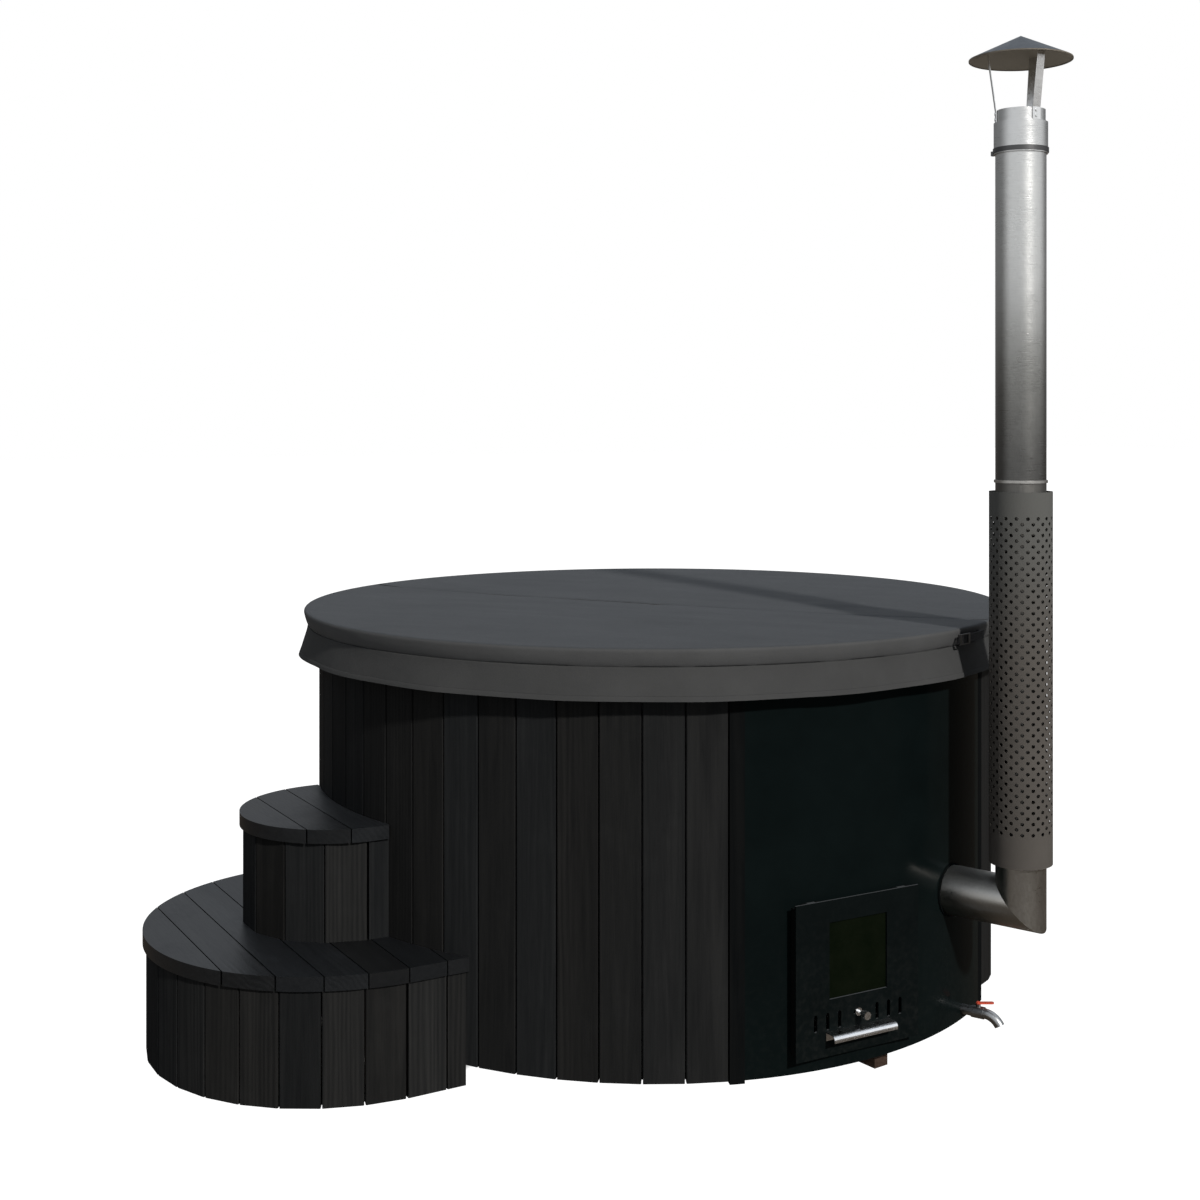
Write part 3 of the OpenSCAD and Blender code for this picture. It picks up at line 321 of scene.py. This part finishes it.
def cloth(name, color, rough=0.55, grain=1100, depth=0.00025, shine=0.3, weave=False, top=None):
    """Coated cloth with a fine leather grain, or a plain weave.

    Top is (tint, shine), for what looks up; the tint is painted shade and a painted blue sky
    reflection."""
    m = Tree(name)
    v = m.place()
    if weave:
        x, y, z = m.split(v)
        a = m.math("SINE", m.math("MULTIPLY", m.math("ADD", x, y), grain))
        b = m.math("SINE", m.math("MULTIPLY", m.math("ADD", z, m.math("MULTIPLY", x, 0.3)), grain))
        fine = m.math("MULTIPLY", a, b)
    else:
        fine = m.cells(v, grain)
    cloud = m.noise(v, 3.2, 5, 0.6)
    patch = m.noise(m.vmath("MULTIPLY", m.place(PATCH_TURN), (0.35, 1, 1)), 9, 4, 0.6)
    shade = m.ramp(cloud, 0.25, 0.75, 0.88, 1.08)
    shade = m.math("ADD", shade, m.ramp(patch, 0.3, 0.7, -0.06, 0.06))
    c = m.vmath("SCALE", color, shade)
    dust = m.ramp(m.noise(v, 38, 4, 0.7), 0.6, 0.85)
    dusty = m.mix(1.0, m.vmath("SCALE", c, 1.7), DUST_TINT, "MULTIPLY")
    c = m.mix(m.math("MULTIPLY", dust, 0.12), c, dusty)
    c = m.vmath("SCALE", c, m.ramp(fine, 0.0, 0.6, 0.9, 1.05))
    # A face that looks up takes the top tint: painted shade and a painted blue sky reflection.
    if top:
        up = m.up()
        c = m.mix(m.ramp(up, 0.4, 0.9), c, m.mix(1.0, c, top[0], "MULTIPLY"))
        shine = m.ramp(up, 0.4, 0.9, shine, top[1])
    r = m.ramp(patch, 0.25, 0.75, rough - 0.06, rough + 0.08)
    r = m.math("ADD", r, m.ramp(fine, 0, 0.7, 0.05, -0.04))
    m.bump((m.noise(v, 60, 3, 0.6), depth * 3), (fine, depth))
    return m.set(color=c, rough=r, shine=shine)


def soot(name, color, rough=0.9):
    """Burnt, flaking iron."""
    m = Tree(name)
    v = m.place()
    a = m.noise(v, 30, 6, 0.7)
    b = m.cells(v, 240)
    c = m.mix(m.ramp(a, 0.4, 0.75), color, [x * 2.4 for x in color])
    m.bump((a, 0.001), (b, 0.0006))
    return m.set(color=c, rough=m.ramp(a, 0.3, 0.8, rough, rough - 0.15), shine=0.25)


# The looks, by name
BLACK = ((0.0096, 0.0100, 0.0103), (0.0212, 0.0212, 0.0208))
TREAD = ((0.0052, 0.0056, 0.0061), (0.0115, 0.0119, 0.0123))
TREAD_PITCH = 0.1005
ON_STEPS = {"centre": STEPS, "turn": STEPS_TURN}
WORN_TREAD = {"rough": 0.40, "spread": (0.85, 1.2), "tint": (0.90, 0.96, 1.04), **ON_STEPS}
M = {
    "wall": wood("wall_stain", *BLACK, "z", ring_index(6.102, 35.3), shine=0.02),
    "trim": wood("trim_stain", (0.0034, 0.0040, 0.0043), (0.0070, 0.0074, 0.0074), "z",
                 shine=0.003),
    "lower_side": wood("lower_side_stain", *BLACK, "z", ring_index(11.65, -87.4),
                       shine=0.008, **ON_STEPS),
    "upper_side": wood("upper_side_stain", *BLACK, "z", ring_index(23.9, -83.65),
                       shine=0.008, **ON_STEPS),
    "lower_tread": wood("lower_tread_stain", *TREAD, "x", row_index(TREAD_PITCH, -0.521),
                        shine=0.26, **WORN_TREAD),
    "upper_tread": wood("upper_tread_stain", *TREAD, "x", row_index(TREAD_PITCH, -0.273),
                        shine=0.25, **WORN_TREAD),
    "beam": wood("beam_wood", (0.030, 0.017, 0.012), (0.075, 0.050, 0.038), "y", turn=7.3,
                 shine=0.1, raw=True),
    # Dark wood for the base board and the step frames: painted shade, where they sit hidden under
    # the tub and behind the step boards.
    "backing": wood("backing_wood", (0.010, 0.009, 0.008), (0.022, 0.020, 0.018), "x", shine=0.03),
    # The hoops are dark steel: painted shade, where they show through the gaps between the boards.
    "hoop": metal("hoop_steel", (0.045, 0.045, 0.045), 0.6),
    "plank": wood("hidden_wood", (0.30, 0.20, 0.12), (0.52, 0.38, 0.24), "x", shine=0.3,
                  raw=True),
    "panel": paint("panel_gloss", (0.0036, 0.0060, 0.0061), 0.14, shine=0.03, orange=0.00005,
                   blotch=0.2, dust=0.01),
    # The door's up-facing faces take a light edge colour: a painted highlight along its top edge.
    "door": paint("door_black", (0.0040, 0.0057, 0.0058), 0.34, shine=0.012, blotch=0.2, dust=0.03,
                  edge=(0.075, 0.080, 0.085)),
    "frame": paint("frame_black", (0.005, 0.0057, 0.0057), 0.5, shine=0.02, orange=0.0003),
    "sheet": metal("sheet_steel", (0.42, 0.41, 0.40), 0.38),
    "elbow": metal("elbow_steel", (0.42, 0.405, 0.375), 0.32, blotch=0.03, depth=0.00001),
    # The flue seal is near black: painted shade for the gap round the flue.
    "port": paint("flue_gap", (0.004, 0.005, 0.005), 0.8, shine=0.01),
    "lower_pipe": metal("lower_pipe_steel", (0.165, 0.160, 0.150), 0.40, "z", blotch=0.10),
    # The upper pipe grows lighter towards the top: a painted reflection of the bright sky.
    "upper_pipe": metal("upper_pipe_steel", (0.145, 0.144, 0.139), 0.30, "round", blotch=0.04,
                        fade=((1.50, 1.80, (0.25, 0.249, 0.236)),
                              (1.70, 2.12, (0.60, 0.600, 0.585)))),
    "cap_steel": metal("cap_steel", (0.60, 0.60, 0.59), 0.30, "round", blotch=0.08),
    "leg_steel": metal("leg_steel", (0.72, 0.72, 0.71), 0.28, "z", blotch=0.08),
    "band": metal("band_steel", (0.52, 0.51, 0.49), 0.32),
    "clamp": metal("clamp_steel", (0.10, 0.10, 0.10), 0.42),
    "bright": metal("handle_steel", (0.72, 0.72, 0.72), 0.24, "round", blotch=0.1, scratch=0.12),
    "drain": metal("drain_steel", (0.30, 0.30, 0.298), 0.30, blotch=0.10, scratch=0.06,
                   depth=0.00006),
    "shield": paint("shield_grey", (0.088, 0.080, 0.072), 0.5, shine=0.05, orange=0.0003,
                    blotch=0.10, upper=(1.0, 1.46, (0.112, 0.112, 0.106))),
    "cap": paint("cap_paint", (0.024, 0.029, 0.036), 0.40, shine=0.12, blotch=0.25,
                 under=(0.33, 0.285, 0.225)),
    "lever": paint("lever_red", (0.62, 0.075, 0.035), 0.38, shine=0.5, dust=0.3, blotch=0.25,
                   dust_color=(0.30, 0.16, 0.12)),
    # The cover's top is tinted darker and bluer than its sides: painted shade and a painted blue
    # sky reflection.
    "cover": cloth("cover_cloth", (0.080, 0.0808, 0.0815), shine=0.014,
                   top=((0.71, 0.745, 0.79), 0.06)),
    "skirt": cloth("skirt_cloth", (0.055, 0.0555, 0.0555), shine=0.01),
    "strap": cloth("strap_webbing", (0.012, 0.012, 0.013), 0.75, 2400, 0.0004, weave=True),
    "rope": cloth("seal_rope", (0.10, 0.098, 0.092), 0.9, 2600, 0.0008, shine=0.1, weave=True),
    "foam": cloth("foam", (0.10, 0.10, 0.105), 0.95, 420, 0.0012, shine=0.1),
    "soot": soot("firebox_soot", (0.010, 0.0095, 0.009)),
    "iron": soot("grate_iron", (0.022, 0.020, 0.019), 0.8),
}

# The moulded liner: pale gloss with faint specks
liner = Tree("liner_acrylic")
at = liner.place()
specks = liner.ramp(liner.cells(at, 95), 0.0, 0.16, 1.0, 0.0)
cloud = liner.ramp(liner.noise(at, 5, 4, 0.6), 0.3, 0.7)
tone = liner.mix(cloud, (0.60, 0.62, 0.63), (0.70, 0.71, 0.72))
tone = liner.mix(liner.math("MULTIPLY", specks, 0.35), tone, (0.36, 0.39, 0.42))
rubbed = liner.ramp(liner.noise(at, 12, 4, 0.6), 0.3, 0.7, 0.12, 0.24)
liner.bump((liner.noise(at, 45, 3, 0.5), 0.0004))
M["liner"] = liner.set(color=tone, rough=rubbed, shine=0.5)

# The window: dark tinted glass with soot on its inside
pane = Tree("window_glass")
at = pane.place()
haze = pane.ramp(pane.noise(at, 16, 5, 0.65), 0.35, 0.75)
pane.bump((pane.noise(at, 14, 2, 0.5), 0.00012))
M["glass"] = pane.set(color=pane.mix(haze, (0.0026, 0.0045, 0.0021), (0.0050, 0.0070, 0.0036)),
                      rough=pane.ramp(haze, 0, 1, 0.05, 0.14), shine=0.015, through=0.04)

# What each node of the solids wears
WEARS = {
    "base_beams": "beam", "base_board": "backing", "floor_insulation": "foam",
    "wall_boards": "wall", "wall_hoops": "hoop", "wall_insulation": "foam", "liner": "liner",
    "liner_bench": "liner", "liner_well": "liner", "liner_ports": "liner",
    "bench_supports": "plank", "front_panel": "panel", "panel_trims": "trim",
    "heater_jacket": "sheet", "heater_back": "sheet", "firebox": "soot", "fire_grate": "iron",
    "ash_pan": "sheet", "flame_baffle": "iron", "smoke_box": "sheet", "water_ports": "sheet",
    "door_frame": "frame", "door_plate": "door", "door_glass": "glass", "glass_clips": "sheet",
    "door_gasket": "rope", "door_hinge_pins": "sheet", "door_handle": "bright",
    "air_slide": "frame", "air_knob": "bright", "slide_guides": "sheet", "flue_stub": "sheet",
    "flue_seal": "port", "flue_elbow": "elbow", "chimney_lower": "lower_pipe",
    "chimney_upper": "upper_pipe", "joint_band": "band", "shield_spacers": "sheet",
    "cap_collar": "cap_steel", "collar_clamp": "clamp", "cap_spigot": "cap_steel",
    "cap_legs": "leg_steel", "cap_rivets": "leg_steel", "cap_cone": "cap",
    "drain_outlet": "sheet", "drain_pipe": "drain", "drain_valve": "drain",
    "valve_lever": "lever", "drain_spout": "drain", "lower_step_boards": "lower_side",
    "lower_step_treads": "lower_tread", "lower_step_frame": "backing",
    "upper_step_boards": "upper_side", "upper_step_treads": "upper_tread",
    "upper_step_frame": "backing", "cover_strap": "strap", "strap_buckle": "clamp",
}

# Every slot of a node's mesh wears the one material
for node, worn in WEARS.items():
    o = NODES[node]
    if not o.material_slots:
        o.data.materials.append(None)
    for s in o.material_slots:
        s.material = M[worn]


def piece(name, verts, faces, look, body, sharp, nodes):
    """A mesh of its own that rides on a body and stands for nodes."""
    me = bpy.data.meshes.new(name)
    me.from_pydata([tuple(v) for v in verts], [], faces)
    me.validate()
    bm = bmesh.new()
    bm.from_mesh(me)
    bmesh.ops.remove_doubles(bm, verts=bm.verts, dist=1e-6)
    bmesh.ops.recalc_face_normals(bm, faces=bm.faces)
    bm.to_mesh(me)
    bm.free()
    me.shade_smooth()
    me.set_sharp_from_angle(angle=math.radians(sharp))
    me.materials.append(M[look])
    o = bpy.data.objects.new(name, me)
    bpy.context.scene.collection.objects.link(o)
    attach(o, body)
    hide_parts(*nodes)
    return o


def shield():
    """The heat shield with its holes, as two shells. Every other row is turned by half a pitch."""
    radii, low, high, rise = (0.081, 0.0795), 0.520, 1.479, 0.0141
    first, rows, per_row, hole = 0.601, 58, 18, 0.0050
    pitch = 2 * math.pi / per_row
    verts, faces, index = [], [], {}

    def add(a, z, shell):
        verts.append((FLUE.x + radii[shell] * math.sin(a), FLUE.y - radii[shell] * math.cos(a), z))
        return len(verts) - 1

    def vertex(a, z, shell):
        a = round(a % (2 * math.pi), 6) % round(2 * math.pi, 6)
        key = (a, round(z, 6), shell)
        if key not in index:
            index[key] = add(a, z, shell)
        return index[key]

    def band(z1, z2, shell):
        for k in range(4 * per_row):
            a, b = k * pitch / 4, (k + 1) * pitch / 4
            corners = ((a, z1), (b, z1), (b, z2), (a, z2))
            faces.append(tuple(vertex(turn, z, shell) for turn, z in corners))

    for shell in (0, 1):
        band(low, first, shell)
        band(first + rows * rise, high, shell)
    for z in (low, high):
        for k in range(4 * per_row):
            a, b = k * pitch / 4, (k + 1) * pitch / 4
            faces.append((vertex(a, z, 0), vertex(b, z, 0), vertex(b, z, 1), vertex(a, z, 1)))
    edge = [(-2, -2), (-1, -2), (0, -2), (1, -2), (2, -2), (2, 0)]
    edge += [(-u, -w) for u, w in edge]
    for row in range(rows):
        z = first + (row + 0.5) * rise
        for k in range(per_row):
            middle = (k + (row % 2) / 2) * pitch
            rims = []
            for shell in (0, 1):
                outer, inner = [], []
                for u, w in edge:
                    outer.append(vertex(middle + u * pitch / 4, z + w * rise / 4, shell))
                    d = math.atan2(w * rise / 4, u * pitch / 4 * radii[0])
                    a = middle + hole * math.cos(d) / radii[0]
                    inner.append(add(a, z + hole * math.sin(d), shell))
                for i in range(len(edge)):
                    j = (i + 1) % len(edge)
                    faces.append((outer[i], outer[j], inner[j], inner[i]))
                rims.append(inner)
            for i in range(len(edge)):
                j = (i + 1) % len(edge)
                faces.append((rims[0][i], rims[0][j], rims[1][j], rims[1][i]))
    piece("shield_sleeve", verts, faces, "shield", "tub", 30, ("heat_shield",))


shield()


# The cover: two padded halves with leaning side bands, and a skirt hanging from each band's seam
COVER_R, SEAM_R, TOP, UNDER, SEAM_Z = 1.042, 1.029, 1.11525, 1.0415, 1.06825
FOLD_TURN, HALF_GAP, SAG, SAG_W = 32.7, 0.0012, 0.010, 0.22
ROUND_R, ROUND_DROP, SINK, BAND_IN = 0.0075, 0.0085, 0.0003, 1.0235


def waves(x, y, turn):
    """The soft unevenness of the stretched cloth, longer along the fold."""
    n = noise.noise(Vector((x * 1.6 + turn, y * 5.0, 0.3)))
    m = noise.noise(Vector((x * 5.0, y * 12.0 + turn, 4.1)))
    return 0.0030 * n + 0.0011 * m


def half_place(r, a):
    """A place on a half: each half stops half the gap short of the fold."""
    return r * math.cos(a), HALF_GAP + r * math.sin(a) * (1 - HALF_GAP / COVER_R)


def slab(name, turn, body, node):
    """A padded half of the cover.

    Its top sags along the fold, its edge is rounded, its band leans and its underside is flat."""
    n, radial, bend, tall = 150, 44, 6, 9
    inner, closer = 0.985, 0.9
    fade_w, settle, pinch, pinch_w, puffed = 0.10, 0.0012, 0.003, 0.006, 0.0022
    lip = ROUND_DROP + SINK
    q = Matrix.Rotation(math.radians(turn), 4, "Z")
    faces = []

    def top(r, a):
        x, y = half_place(r, a)
        along = min(abs(x) / COVER_R, 1)
        z = TOP - SAG * math.exp(-(y / SAG_W) ** 2) * (1 - along ** 4)
        fade = min(1, (COVER_R - r) / fade_w)
        z += (waves(x, y, turn) - settle) * fade
        z -= pinch * math.exp(-max(y - HALF_GAP, 0) / pinch_w)
        return x, y, z

    def side(r, z, a, puff=0.0):
        x, y = half_place(r + puff, a)
        return x, y, z

    rings = []
    for i in range(n + 1):
        a = math.pi * i / n
        ring = [top(inner * COVER_R * (j / radial) ** closer, a) for j in range(1, radial + 1)]
        wob = 0.0012 * noise.noise(Vector((a * 14, turn, 2.0)))
        for k in range(1, bend + 1):
            t = math.radians(90 * k / bend)
            r = COVER_R - ROUND_R + ROUND_R * math.sin(t)
            ring.append(side(r, TOP - ROUND_DROP * (1 - math.cos(t)) - SINK, a))
        for k in range(1, tall):
            f = k / tall
            r = COVER_R + (SEAM_R - COVER_R) * f
            puff = (puffed + wob) * math.sin(math.pi * f)
            ring.append(side(r, TOP - lip + (SEAM_Z - TOP + lip) * f, a, puff))
        ring.append(side(SEAM_R - 0.0015, SEAM_Z - 0.0004, a))
        ring.append(side(BAND_IN, SEAM_Z - 0.0012, a))
        ring.append(side(BAND_IN, UNDER, a))
        rings.append(ring)
    m = len(rings[0])
    verts = [top(0, 0), (0, HALF_GAP, UNDER)] + [p for ring in rings for p in ring]

    def at(i, j):
        return 2 + i * m + j

    for i in range(n):
        faces.append((0, at(i, 0), at(i + 1, 0)))
        faces.append((1, at(i + 1, m - 1), at(i, m - 1)))
        for j in range(m - 1):
            faces.append((at(i, j), at(i, j + 1), at(i + 1, j + 1), at(i + 1, j)))
    faces += [(1, 0, at(0, 0)), (1, at(n, 0), 0)]
    faces += [(1, at(0, j), at(0, j + 1)) for j in range(m - 1)]
    faces += [(1, at(n, j + 1), at(n, j)) for j in range(m - 1)]
    verts = [q @ Vector(v) for v in verts]
    o = piece(name, verts, faces, "cover", body, 40, (node,))


def skirt(name, turn, body, node):
    """The hanging skirt, with a rolled upper edge at the seam and a sewn hem."""
    n = 300
    q = Matrix.Rotation(math.radians(turn), 4, "Z")
    drop, flare, thick, start, seam = 0.0795, 0.026, 0.0028, SEAM_Z - 0.0006, 0.85
    depths = [0, 0.02, 0.05, 0.2, 0.4, 0.6, 0.78, 0.84, 0.845, 0.855, 0.86, 0.95, 0.985, 1.0]
    rings = []
    for i in range(n + 1):
        a = math.pi * i / n
        sway = 0.003 * math.sin(18 * a) + 0.0012 * noise.noise(Vector((a * 9, 1.0, turn)))

        def out(d):
            bulge = 0.0016 * math.exp(-((d - 0.03) / 0.03) ** 2)
            stitch = -0.0009 * math.exp(-((d - seam) / 0.006) ** 2)
            hem = 0.0007 if d > seam else 0.0
            pucker = 0.0009 * math.exp(-d * 4) * noise.noise(Vector((a * 60, d * 3, turn)))
            fall = 0.0007 * noise.noise(Vector((a * 20, d * 2, 7.7)))
            return SEAM_R + d * flare + d * sway + bulge + stitch + hem + pucker + fall

        ring = [(out(d), start - d * drop) for d in depths]
        ring += [(out(1) - thick, start - drop + 0.0005)]
        ring += [(out(d) - thick, start - d * drop) for d in reversed(depths[:-1])]
        rings.append([(*half_place(r, a), z) for r, z in ring])
    m = len(rings[0])
    verts = [q @ Vector(p) for ring in rings for p in ring]
    faces = [(i * m + j, i * m + (j + 1) % m, (i + 1) * m + (j + 1) % m, (i + 1) * m + j)
             for i in range(n) for j in range(m)]
    half = len(depths)
    for i, flip in ((0, False), (n, True)):
        for j in range(half - 1):
            face = [i * m + j, i * m + j + 1, i * m + (m - 2 - j) % m, i * m + (m - 1 - j) % m]
            faces.append(tuple(reversed(face)) if flip else tuple(face))
    o = piece(name, verts, faces, "skirt", body, 50, (node,))


slab("cover_half_back", FOLD_TURN - 90, "cover_rear", "cover_back")
slab("cover_half_front", FOLD_TURN + 90, "cover_fore", "cover_front")
skirt("skirt_back", FOLD_TURN - 90, "cover_rear", "cover_back_skirt")
skirt("skirt_front", FOLD_TURN + 90, "cover_fore", "cover_front_skirt")


# Light: one soft sun from the front, an even sky, a white surround and a pale floor
SUN_TURN, SUN_HIGH, SUN_WIDE, SUN_ENERGY = 2, 33, 3, 2.95
SUN_COLOR = (1.0, 0.975, 0.94)
MIRROR_TURN = -20
SKY, SKY_TINT, WHITE = (0.25, 0.25, 0.25), (0.90, 0.97, 1.06), (1, 1, 1)
world = bpy.context.scene.world or bpy.data.worlds.new("world")
bpy.context.scene.world = world
air = Tree("", world)
air.t.nodes.clear()


def either(m, *values):
    """The largest of some values."""
    total = values[0]
    for v in values[1:]:
        total = m.math("MAXIMUM", total, v)
    return total


# What mirrors see: bright in front and above, dark behind the tub
way = air.new("TexCoord").outputs["Generated"]
facing = air.new("VectorMath", operation="DOT_PRODUCT")
air.put(facing.inputs[0], way)
air.put(facing.inputs[1], around(MIRROR_TURN, 1))
high = air.split(way)[2]
mirror = air.ramp(facing.outputs["Value"], -0.35, 0.3, 0.2, 1.0)
mirror = air.math("MAXIMUM", mirror, air.ramp(high, 0.1, 0.6, 0.0, 1.0))
path = air.new("LightPath").outputs
shown = either(air, path["Is Camera Ray"], path["Is Transmission Ray"])
strength = air.mix(path["Is Glossy Ray"], SKY, mirror)
strength = air.mix(shown, strength, WHITE)
tone = air.mix(air.ramp(high, 0.05, 0.5), WHITE, SKY_TINT)
tone = air.mix(shown, tone, WHITE)
backdrop = air.new("Background")
air.put(backdrop.inputs["Color"], tone)
air.put(backdrop.inputs["Strength"], strength)
air.t.links.new(backdrop.outputs[0], air.new("OutputWorld").inputs["Surface"])

sun = bpy.data.objects.new("key", bpy.data.lights.new("key", "SUN"))
sun.data.energy = SUN_ENERGY
sun.data.angle = math.radians(SUN_WIDE)
sun.data.color = SUN_COLOR
high = math.radians(SUN_HIGH)
towards = around(SUN_TURN, math.cos(high), math.sin(high))
sun.rotation_euler = towards.to_track_quat("Z", "Y").to_euler()
bpy.context.scene.collection.objects.link(sun)

# The floor: white for the camera, except under the tub and the steps, and dark earth for mirrors
FLOOR_HALF, FLOOR_SINK, FLOOR_GLOW, GLOW_SHARE = 60, 0.0005, 1.20, 0.92
EARTH = (0.105, 0.088, 0.072)
GREYS = ((0.42, 0.42, 0.42), (0.46, 0.46, 0.46))
UNDER_PIECES, SOFT_EDGE = (((0, 0, 0), 0.72), (STEPS, 0.42)), 0.04
me = bpy.data.meshes.new("floor")
ends = [(-1, -1), (1, -1), (1, 1), (-1, 1)]
me.from_pydata([(FLOOR_HALF * x, FLOOR_HALF * y, 0) for x, y in ends], [], [(0, 1, 2, 3)])
floor = bpy.data.objects.new("floor", me)
bpy.context.scene.collection.objects.link(floor)
floor.location.z = -FLOOR_SINK
floor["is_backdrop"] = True
floor_look = Tree("floor_pale")
spot = floor_look.new("NewGeometry").outputs["Position"]
open_floor = 1.0
for centre, r in UNDER_PIECES:
    away = floor_look.vmath("SUBTRACT", floor_look.vmath("MULTIPLY", spot, (1, 1, 0)), centre)
    length = floor_look.new("VectorMath", operation="LENGTH")
    floor_look.put(length.inputs[0], away)
    clear = floor_look.ramp(length.outputs["Value"], r, r + SOFT_EDGE)
    open_floor = floor_look.math("MULTIPLY", open_floor, clear)
patchy = floor_look.noise(spot, 3, 3)
grey = floor_look.mix(patchy, *GREYS)
floor_look.set(color=grey, rough=0.9, shine=0.05)
path = floor_look.new("LightPath").outputs
shown = either(floor_look, path["Is Camera Ray"], path["Is Transmission Ray"])
glow = floor_look.new("Emission")
glow.inputs["Strength"].default_value = FLOOR_GLOW
earth = floor_look.new("Emission")
floor_look.put(earth.inputs["Color"], EARTH)
blend = floor_look.new("MixShader")
share = floor_look.math("MULTIPLY", shown, GLOW_SHARE)
floor_look.put(blend.inputs[0], floor_look.math("MULTIPLY", share, open_floor))
floor_look.t.links.new(floor_look.p.outputs[0], blend.inputs[1])
floor_look.t.links.new(glow.outputs[0], blend.inputs[2])
below = floor_look.new("MixShader")
floor_look.put(below.inputs[0], path["Is Glossy Ray"])
floor_look.t.links.new(blend.outputs[0], below.inputs[1])
floor_look.t.links.new(earth.outputs[0], below.inputs[2])
floor_look.t.links.new(below.outputs[0], floor_look.t.nodes["Material Output"].inputs["Surface"])
me.materials.append(floor_look.m)

low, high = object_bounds()
